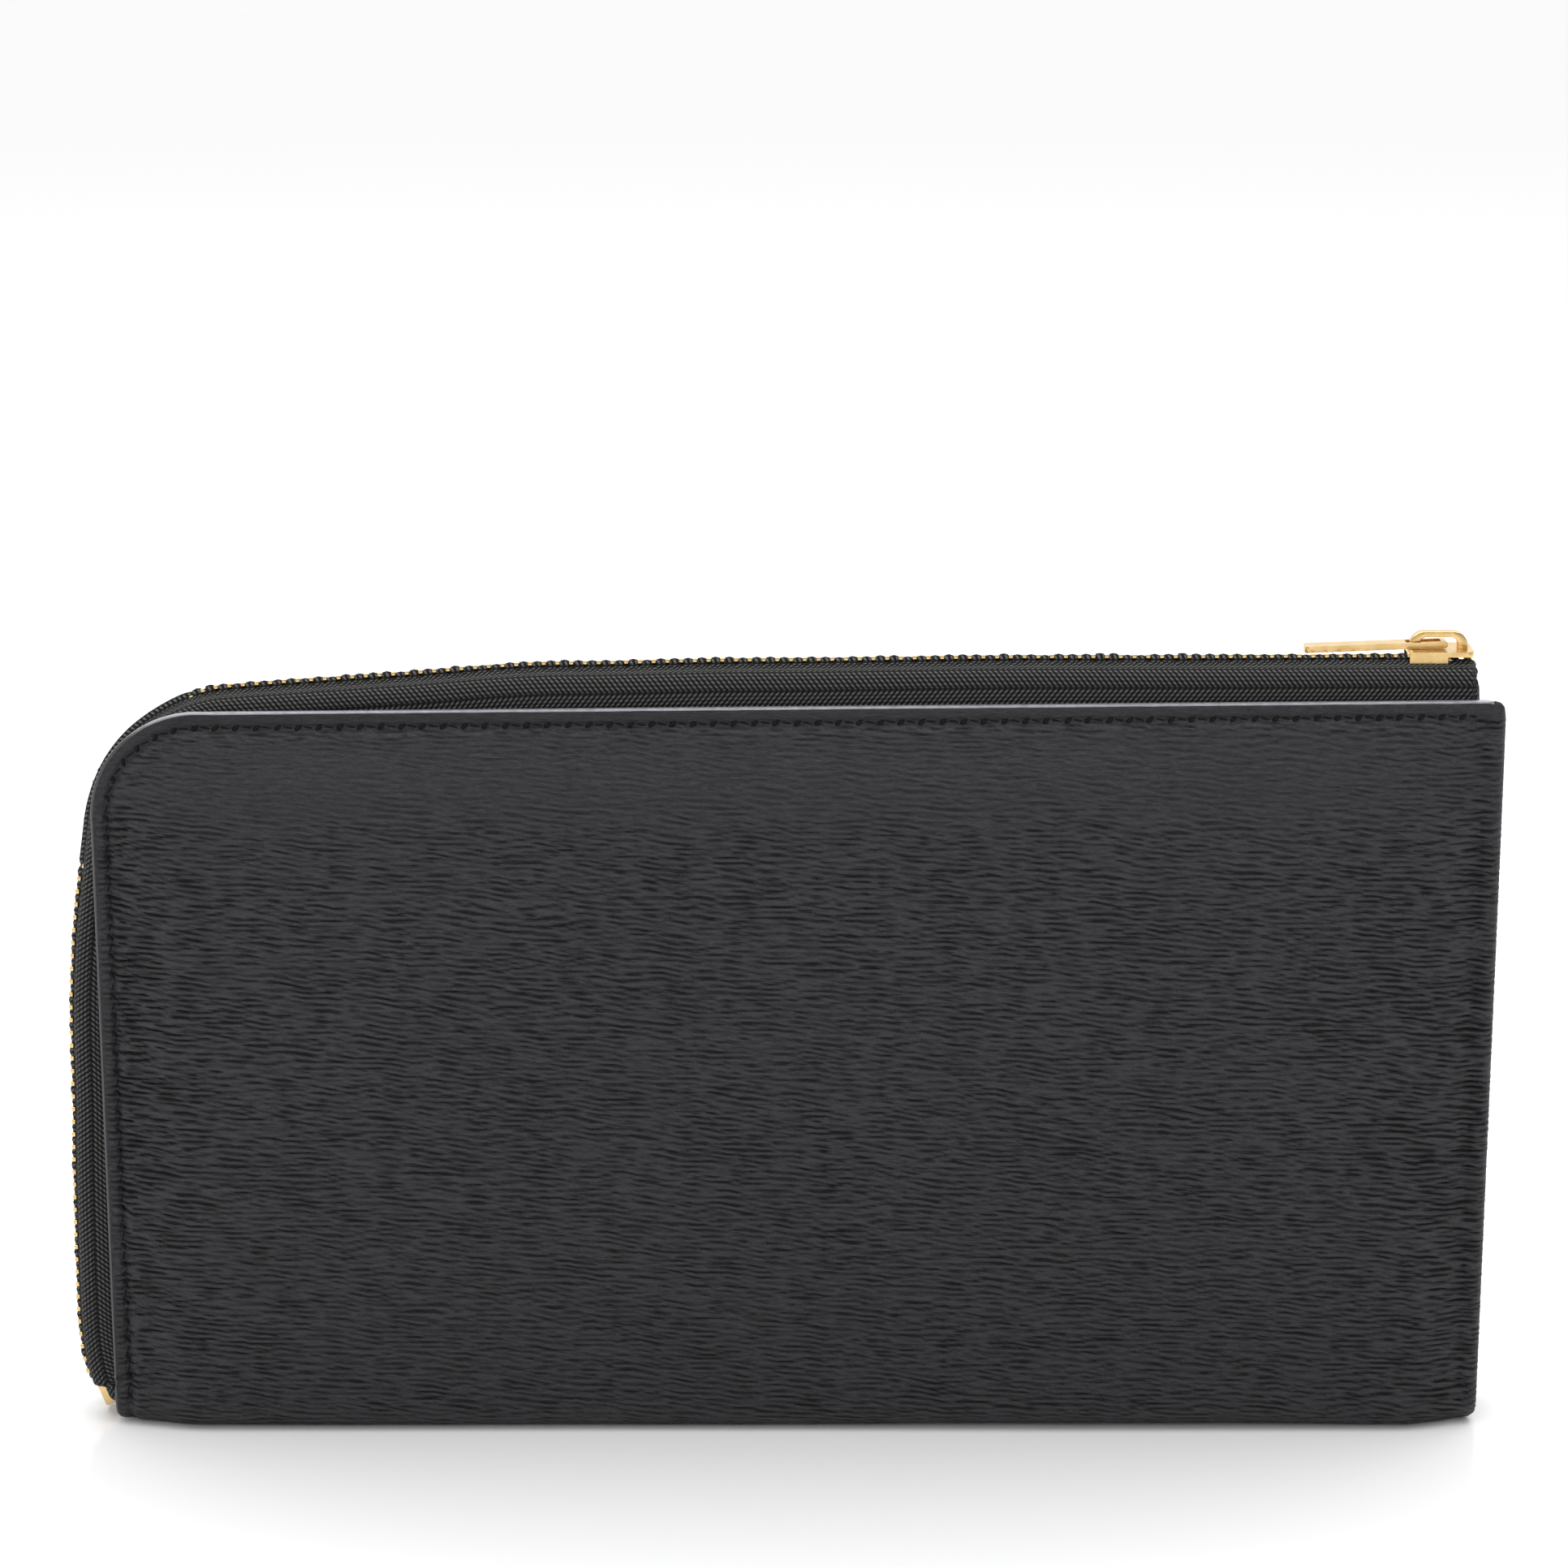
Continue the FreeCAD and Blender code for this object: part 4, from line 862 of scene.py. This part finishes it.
def zip_tape(side):
    """One tape: cord bumps between its teeth, woven face, and a folded end beside the slider."""
    squeezed, bulging, plain = tape_section(1.12 if side == FRONT else 0.5)
    distance = np.arange(0.0, CHAIN_LENGTH - 0.6, TOOTH_PITCH / 10)
    section = squeezed + cord_bulge(distance, side)[:, None, None] * (bulging - squeezed)
    section = section + cordless(distance)[:, None, None] * (plain - section)
    x, z, heading = chain_place(distance)
    columns, flats = [], []
    outline = squeezed[:, :2] + squeezed[:, 2:4] * squeezed[:, 4:]
    lengths = unrolled(outline[:, None])[:, 0]
    cord_end = 12
    lengths = lengths - lengths[cord_end]
    radius, turned_end, one_face = 0.45, 3.4, 0.6

    def column(rows, along, turn, place, upward, slope, tuck=0.0):
        reach = radius + rows[:, 4]
        out = rows[:, 0] + rows[:, 2] * (reach * math.cos(turn) - radius)
        up = rows[:, 1] + rows[:, 3] * (reach * math.cos(turn) - radius)
        if side == FRONT:
            up = up + slope * out * (1.0 - smooth(out, 1.8, 3.4)) * smooth(up, -1.2, -0.5)
        else:
            up = up - slope * out * smooth(up, -9.0, -1.5)
        along = along + reach * math.sin(turn)
        up = up - tuck * smooth(up, -8.0, -1.5)
        px, pz = place
        direction = (upward[1], -upward[0])
        return np.stack([px + direction[0] * along + upward[0] * up, side * out,
                         pz + direction[1] * along + upward[1] * up], -1)

    end_place = (CHAIN_START - FOLD_IN, CHAIN_HEIGHT)
    frayed = 0.16 * soft_noise(41 + side, np.arange(len(plain)) * 1.0, 0.0 * np.arange(len(plain)), 1.6)
    for back in (2.2, 1.0):
        columns.append(column(plain, frayed - back, math.pi, end_place, (0.0, 1.0), lean(0.0)))
        flats.append(-2.0 - back)
    for turn in np.radians(np.linspace(180.0, 0.0, 9)[:-1]):
        columns.append(column(plain, frayed * math.sin(turn / 2), turn, end_place, (0.0, 1.0), lean(0.0)))
        flats.append(-turn * 0.6)
    for number in range(int(FOLD_IN / TOOTH_PITCH * 10) + 1, len(distance)):
        upward = (math.sin(heading[number]), -math.cos(heading[number]))
        place = (min(x[number], end_place[0]), z[number])
        tuck = 1.4 * float(smooth(distance[number], CHAIN_LENGTH - 4.9, CHAIN_LENGTH - 3.9))
        slope = float(lean(distance[number]))
        columns.append(column(section[number], 0.0, 0.0, place, upward, slope, tuck))
        flats.append(distance[number])
    rings = np.array(columns)
    flat = np.zeros(rings.shape)
    flat[..., 0] = np.array(flats)[:, None]
    flat[..., 1] = lengths[None, :]
    rings[..., 2] = np.maximum(rings[..., 2], 0.12)
    piece = swept(HALF_NAMES[side] + "_woven_tape", rings, flat, TAPE)
    settle(piece, side, "zip_tape", HALF_NAMES[side] + "_zip_tape")


def tooth_shape(tip, thick):
    """One rounded tooth: points (along, out, up) and faces."""
    end, tall, head, near, grip = 2.42, 0.98, 0.42, 0.88, 0.4
    upper = [(-tip, head), (near - (tall - head), head), (near, tall), (end, tall), (end, grip),
             (near + 0.2, grip)]
    outline = upper + [(out, -up) for out, up in reversed(upper)]
    work = bmesh.new()
    ring = [work.verts.new((-thick / 2, out, up)) for out, up in outline]
    face = work.faces.new(ring)
    pushed = bmesh.ops.extrude_face_region(work, geom=[face])
    moved = [item for item in pushed["geom"] if isinstance(item, bmesh.types.BMVert)]
    bmesh.ops.translate(work, vec=(thick, 0, 0), verts=moved)
    bmesh.ops.recalc_face_normals(work, faces=work.faces)
    bmesh.ops.bevel(work, geom=list(work.edges), offset=0.11, segments=2, affect="EDGES", profile=0.6)
    work.verts.index_update()
    points = np.array([vertex.co[:] for vertex in work.verts])
    faces = [[vertex.index for vertex in face.verts] for face in work.faces]
    work.free()
    return points, faces


def many_teeth(name, places, shape):
    """Copies of one tooth; each place is a point, the direction along the chain, outward, and sideways."""
    points, faces = shape
    all_points, all_faces = [], []
    for point, along, upward, sideways in places:
        start = len(all_points) * len(points)
        all_points.append(point + points @ np.stack([along, sideways, upward]))
        all_faces.extend([[start + index for index in face] for face in faces])
    return outward(make_piece(name, np.concatenate(all_points), all_faces, None, TOOTH_BRASS))


def zip_teeth(side):
    """One row of the main chain's teeth, from the slider to the bottom stop."""
    count = int((CHAIN_LENGTH - 4.4 - FIRST_TOOTH) / TOOTH_PITCH)
    distance = FIRST_TOOTH + TOOTH_PITCH * (np.arange(count) + TOOTH_SHIFT[side])
    x, z, heading = chain_place(distance)
    places = []
    for px, pz, turn, slope, sunk in zip(x, z, heading, lean(distance), 0.75 * gathered(distance)):
        upward = np.array([math.sin(turn), 0.0, -math.cos(turn)])
        along = np.array([-math.cos(turn), 0.0, -math.sin(turn)])
        sideways = np.array([0.0, side, 0.0]) - side * slope * upward
        places.append((np.array([px, 0.0, pz]) - sunk * upward, along, upward, sideways))
    piece = many_teeth(HALF_NAMES[side] + "_teeth", places, tooth_shape(0.45, 0.62))
    settle(piece, side, "zip_metal", HALF_NAMES[side] + "_zip_teeth")


def polish(node, width, material):
    """Give a CAD metal part softly broken edges and its real finish."""
    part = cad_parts[node]
    weld = part.modifiers.new("weld", "WELD")
    weld.merge_threshold = 0.002 * MM
    bevel = part.modifiers.new("soft_edges", "BEVEL")
    bevel.width = width * MM
    bevel.segments = 3
    bevel.limit_method = "ANGLE"
    bevel.angle_limit = math.radians(38.0)
    bevel.harden_normals = False
    normals = part.modifiers.new("even_normals", "WEIGHTED_NORMAL")
    normals.keep_sharp = False
    part.data.shade_smooth()
    finish_node(node, material)


def finish_node(node, material):
    """Give a CAD part its real finish."""
    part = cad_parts[node]
    part.data.materials.clear()
    part.data.materials.append(material)


def metal_parts():
    """Sliders, bails, pull tabs and stops keep their CAD shapes."""
    for stem in ("", "coin_"):
        polish(stem + "slider_body", 0.16, BRASS)
        polish(stem + "slider_bail", 0.14, BRASS)
        polish(stem + "pull_tab", 0.13, BRASS)
    for node in ("front_top_stop", "back_top_stop", "bottom_stop", "coin_closed_stop", "coin_open_stop"):
        polish(node, 0.1, TOOTH_BRASS)


def cloth_lining(side):
    """Lining behind one outer piece, from just under its top edge down into the bottom fold."""
    base, panel_rows = leather_rows(side)
    normals = surface_normals(base, side)
    first = int(np.argmax(row_drops() > 0.5))
    rows = sorted(set(range(first, panel_rows, 8)) | set(range(panel_rows - 1, len(base), 3)))
    last = base.shape[1] - TURNED_COLUMNS - 1
    columns = sorted(set(range(2, 16, 3)) | set(range(16, last + 1, 5)) | {last})
    base, normals = base[np.ix_(rows, columns)], normals[np.ix_(rows, columns)]
    faces = [base - normals * offset for offset in (2.0, 2.45)]
    for face in faces:
        face[..., 1] = side * np.maximum(side * face[..., 1], 2.2)
    run = unrolled(faces[1])
    flat = np.stack([base[..., 0], -run, 0.0 * run], -1)
    piece = thick_sheet(HALF_NAMES[side] + "_cloth_lining", faces[0], faces[1], flat, (1, 1), LINING)
    nodes = ["front_lining"] if side == FRONT else ["back_lining", "bottom_lining"]
    settle(piece, side, "lining_fabric", *nodes)


def plate_ring(low, high, thick, bead):
    """Closed section of a plate as (depth, height): bead thickens a band under its rounded top edge."""
    near_top = high - np.array([3.2, 2.6, 2.2, 1.9, 1.7, 1.4, 1.0, 0.6, thick / 2])
    heights = np.unique(np.concatenate([np.linspace(low, high - 4.0, 24), near_top]))
    under = high - heights
    swell = bead * smooth(under, 1.9, 1.5) - 0.5 * bead * hump(under, 2.1, 0.22)
    near = [(-thick / 2 - extra, z) for z, extra in zip(heights, swell)]
    turns = np.radians(np.linspace(160.0, 20.0, 6))
    half = thick / 2
    over = [(half * math.cos(a) - bead * (0.5 - 0.5 * math.cos(a)), high - half + half * math.sin(a))
            for a in turns]
    far = [(half, z) for z in heights[::-2]]
    if far[-1][1] > low:
        far.append((half, low))
    return np.array(near + over + far)


def soft_plate(name, node, body, material, bend, bead=0.0, facing=1):
    """A soft version of a flat CAD plate; bend moves it in y, and facing is the side its bead looks to."""
    low, high = box_mm(node)
    ring = plate_ring(low[2], high[2], high[1] - low[1], bead)
    xs = np.linspace(low[0], high[0], int((high[0] - low[0]) / 2.4) + 2)
    rings = np.zeros((len(xs), len(ring), 3))
    rings[..., 0] = xs[:, None]
    rings[..., 2] = ring[None, :, 1]
    rings[..., 1] = (low[1] + high[1]) / 2 - facing * ring[None, :, 0]
    rings[..., 1] += bend(rings[..., 0], rings[..., 2])
    flat = np.zeros(rings.shape)
    flat[..., 0], flat[..., 1] = rings[..., 0], rings[..., 2]
    piece = swept(name, rings, flat, material)
    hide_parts(node)
    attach(piece, body)


def bent_face(height, bend):
    """How far out a bent plate's face stands at any place."""
    return lambda x, z: height + bend(x, z)


def pocket_bend(side):
    """Bring the pockets clear of the padded lining behind them, in one shape that they all share."""
    def bend(x, z):
        room = panel_depth(x, np.clip(z, 12.0, 90.0)) - 2.45 - 0.06 - 7.0
        return side * (np.minimum(room, 0.0) + 0.10 * soft_noise(91, x + 200.0, z, 45.0) - 0.12)
    return bend


def stitch_row(name, body, rows, facing):
    """Straight rows of small stitches: each row is its start, its end, and the face that it lies on."""
    points, flats, faces = [], [], []
    shares = np.array([-0.9, -0.55, 0.0, 0.55, 0.9])
    thick = np.array([0.1, 0.17, 0.2, 0.17, 0.1])
    lift = facing * (0.12 - 0.3 * shares ** 2)
    for begin, end, level in rows:
        begin, end = np.array(begin, float), np.array(end, float)
        whole = float(np.linalg.norm(end - begin))
        along = (end - begin) / whole
        cross = np.array([-along[1], along[0]])
        count = max(int(whole / 2.6), 1)
        for number in range(count):
            x, z = (begin + along * (number + 0.5) * whole / count)[:, None] + along[:, None] * shares
            depths = level(x, z) + lift
            add_thread((points, flats, faces), x, z, depths, [cross] * len(x), thick, facing * thick, shares)
    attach(outward(make_piece(name, points, faces, flats, THREAD)), body)


def under_top(low, high):
    """Both ends of the stitching under a pocket's top edge."""
    return (low[0] + 2.0, high[2] - 3.1), (high[0] - 2.0, high[2] - 3.1)


def pockets():
    """Four stepped card pockets in the front half, divided down the middle, and a slip pocket behind."""
    bend = pocket_bend(FRONT)
    rows = []
    below = 8.0
    for number in (4, 3, 2, 1):
        node = "card_pocket_%d" % number
        soft_plate("card_slot_%d" % number, node, "front_half", POCKET_LEATHER, bend,
                   bead=0.04, facing=1)
        low, high = box_mm(node)
        level = bent_face(high[1], bend)
        rows.append(((0.1, below + 0.4), (0.1, high[2] - 2.4), level))
        rows.append((*under_top(low, high), level))
        below = high[2]
    stitch_row("card_slot_stitching", "front_half", rows, 1)
    back_bend = pocket_bend(BACK)
    soft_plate("long_slip_pocket", "slip_pocket", "back_half", POCKET_LEATHER, back_bend,
               bead=0.04, facing=-1)
    low, high = box_mm("slip_pocket")
    row = (*under_top(low, high), bent_face(low[1], back_bend))
    stitch_row("slip_pocket_stitching", "back_half", [row], -1)


def gusset_leaf(side):
    """One leaf of the cloth side gusset: from its side seam in to the fold that both leaves share."""
    low, high = box_mm(HALF_NAMES[side] + "_gusset_leaf")
    shares = np.linspace(0.0, 1.0, 26)
    zs = np.linspace(low[2], high[2], 46)
    share, z = np.meshgrid(shares, zs, indexing="ij")
    x = low[0] + (high[0] - 0.4 - low[0]) * share
    depth = 0.28 + 3.05 * share ** 0.85 + 0.25 * np.sin(math.pi * share)
    depth = depth + 0.16 * np.sin(math.pi * share) * soft_noise(63, x + 60.0, z, 16.0)
    middle = np.stack([x, side * depth, z], -1)
    out = np.array([0.12, side, 0.0]) * 0.2
    flat = np.stack([x, z, 0.0 * x], -1)
    name = HALF_NAMES[side] + "_gusset_cloth"
    piece = thick_sheet(name, middle + out, middle - out, flat, (1, 1), LINING)
    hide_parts(HALF_NAMES[side] + "_gusset_leaf")
    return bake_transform(piece)


COIN_PLANE = -0.35
COIN_HEIGHT = 80.0
COIN_LEFT, COIN_RIGHT = -84.0, 60.0
COIN_FIRST_TOOTH = {-1: -75.92, 1: -74.99}
COIN_TEETH = 68


def coin_bend(depth):
    """Curve a coin pocket wall's sides back to meet the other wall, and let its middle belly a little."""
    def bend(x, z):
        edge = np.minimum(x - COIN_LEFT, COIN_RIGHT - x)
        closing = 1.0 - smooth(edge, 0.0, 3.0)
        floor = 1.0 - smooth(z, 5.0, 9.0)
        loose = smooth(edge, 4.0, 20.0) * (1.0 - smooth(z, 50.0, 68.0))
        belly = 0.22 * soft_noise(71, x + 90.0, z, 30.0) * loose
        return depth * np.maximum(closing, floor) + belly
    return bend


def coin_tape(name, node, sign):
    """One woven tape of the coin zip, with a bumpy cord at its edge; its far side goes under the wall."""
    along = np.arange(COIN_LEFT, COIN_RIGHT + 0.1, TOOTH_PITCH / 6)
    phase = (along - COIN_FIRST_TOOTH[sign]) / TOOTH_PITCH
    held = smooth(along, -77.2, -76.6) * (1.0 - smooth(along, 50.0, 50.8))
    bulge = (0.5 - 0.5 * np.cos(2.0 * math.pi * phase)) ** 0.55 * held
    turns = np.radians(np.linspace(60.0, 300.0, 9))
    rings = []
    for x, swell in zip(along, bulge):
        tall = 0.30 + 0.30 * swell
        cord = [(1.62 + 0.72 * min(math.cos(a), 0.0), tall * math.sin(a)) for a in turns]
        near = [(2.5, 0.2), (4.0, 0.2), (6.0, 0.25), (7.6, 0.25), (8.6, -0.30), (9.8, -0.32), (11.6, -0.32)]
        far = [(11.6, -0.62), (9.8, -0.62), (8.4, -0.55), (7.4, -0.25), (4.0, -0.2), (2.5, -0.2)]
        section = near[::-1] + cord + far[::-1]
        close = float(coin_bend(1.5)(np.array(x), np.array(70.0)))
        rings.append([(x, COIN_PLANE - out + close, COIN_HEIGHT + sign * away) for away, out in section])
    rings = np.array(rings)
    flat = np.zeros(rings.shape)
    flat[..., 0] = rings[..., 0]
    flat[..., 1] = np.abs(rings[..., 2] - COIN_HEIGHT) + 1.0
    piece = swept(name, rings, flat, TAPE)
    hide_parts(node)
    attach(piece, "coin_pocket")


def coin_teeth(name, node, sign):
    """One row of the coin zip's teeth."""
    along, upward, sideways = np.array([[1.0, 0.0, 0.0], [0.0, -1.0, 0.0], [0.0, 0.0, sign]])
    xs = COIN_FIRST_TOOTH[sign] + TOOTH_PITCH * np.arange(COIN_TEETH)
    places = [(np.array([x, COIN_PLANE, COIN_HEIGHT]), along, upward, sideways) for x in xs]
    piece = many_teeth(name, places, tooth_shape(-0.56, 0.66))
    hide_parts(node)
    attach(piece, "coin_pocket")


def coin_pocket():
    """The zipped coin pocket that hangs between the halves."""
    body, front, back = "coin_pocket", coin_bend(1.45), coin_bend(-0.55)
    soft_plate("coin_pocket_front", "coin_front_wall", body, LINING, front,
               bead=0.05, facing=-1)
    soft_plate("coin_pocket_back", "coin_back_wall", body, LINING, back)
    soft_plate("coin_pocket_rim", "coin_rim", body, POCKET_LEATHER, front, facing=-1)
    coin_tape("coin_zip_tape_low", "coin_lower_tape", -1)
    coin_tape("coin_zip_tape_high", "coin_upper_tape", 1)
    coin_teeth("coin_teeth_low", "coin_lower_teeth", -1)
    coin_teeth("coin_teeth_high", "coin_upper_teeth", 1)
    level = bent_face(-0.62, front)
    rows = [((COIN_LEFT + 4.0, z), (COIN_RIGHT - 4.0, z), level) for z in (69.2, 90.1)]
    stitch_row("coin_pocket_stitching", body, rows, -1)


def boards():
    """The hidden stiffener boards keep their CAD shapes."""
    for node in ("front_board", "back_board"):
        finish_node(node, BOARD)


# ---------------------------------------------------------------------------------------------------
# Camera, light and floor
# ---------------------------------------------------------------------------------------------------
def add_camera():
    """The camera at the reference view's angle."""
    camera = bpy.data.cameras.new("camera")
    camera.lens = 100.04
    camera.sensor_width = 36.0
    camera.clip_start = 0.01
    stand = bpy.data.objects.new("camera", camera)
    stand.location = (-0.00148, -0.5793, 0.24855)
    stand.rotation_euler = (math.radians(74.907), 0.0, 0.0)
    bpy.context.scene.collection.objects.link(stand)
    bpy.context.scene.camera = stand


def add_area_light(name, place, aim, size, power):
    """A soft box that looks at a point."""
    light = bpy.data.lights.new(name, "AREA")
    light.shape = "RECTANGLE"
    light.size, light.size_y = size
    light.energy = power
    stand = bpy.data.objects.new(name, light)
    back = np.array(place) - np.array(aim)
    stand.location = place
    stand.rotation_euler = Vector(back).to_track_quat("Z", "Y").to_euler()
    bpy.context.scene.collection.objects.link(stand)


def add_world():
    """A white room: bright behind and above, dimmer on the near side and at the ends."""
    world = bpy.data.worlds.new("white_room")
    world.use_nodes = True
    tree = world.node_tree
    tree.nodes.clear()
    place = put(tree, "TexCoord", {}).outputs["Generated"]
    parts = put(tree, "SeparateXYZ", {0: place})
    behind = levels(tree, parts.outputs[1], -0.3, 0.6, 0.30, 1.08)
    above = levels(tree, parts.outputs[2], 0.2, 0.9, 0.0, 0.35)
    room = calc(tree, "ADD", behind, above)
    seen = put(tree, "LightPath", {}).outputs["Is Camera Ray"]
    strength = calc(tree, "MAXIMUM", calc(tree, "MULTIPLY", seen, 1.05), room)
    shown = put(tree, "Background", {"Color": (1.0, 1.0, 1.0, 1.0), "Strength": strength})
    output = put(tree, "OutputWorld", {"Surface": shown.outputs[0]})
    output.is_active_output = True
    bpy.context.scene.world = world


def add_floor():
    """The table top that the wallet stands on."""
    mesh = bpy.data.meshes.new("table_top")
    reach = 3.0
    mesh.from_pydata([(-reach, -reach, 0), (reach, -reach, 0), (reach, reach, 0), (-reach, reach, 0)], [],
                     [(0, 1, 2, 3)])
    table = bpy.data.objects.new("table_top", mesh)
    mesh.materials.append(floor_material())
    bpy.context.scene.collection.objects.link(table)


def add_studio():
    """Plain soft studio light."""
    add_camera()
    add_world()
    add_floor()
    add_area_light("top_box", (0.0, 0.03, 0.9), (0.0, 0.0, 0.05), (1.6, 1.2), 9.0)
    add_area_light("front_box", (-0.25, -1.1, 0.75), (0.0, 0.0, 0.05), (0.9, 0.6), 3.4)
    bpy.context.scene.view_settings.view_transform = "Standard"


add_studio()
for half in (FRONT, BACK):
    outer_leather(half)
    stitching(half)
    zip_tape(half)
    zip_teeth(half)
    cloth_lining(half)
    gusset_leaf(half)
pockets()
coin_pocket()
boards()
metal_parts()
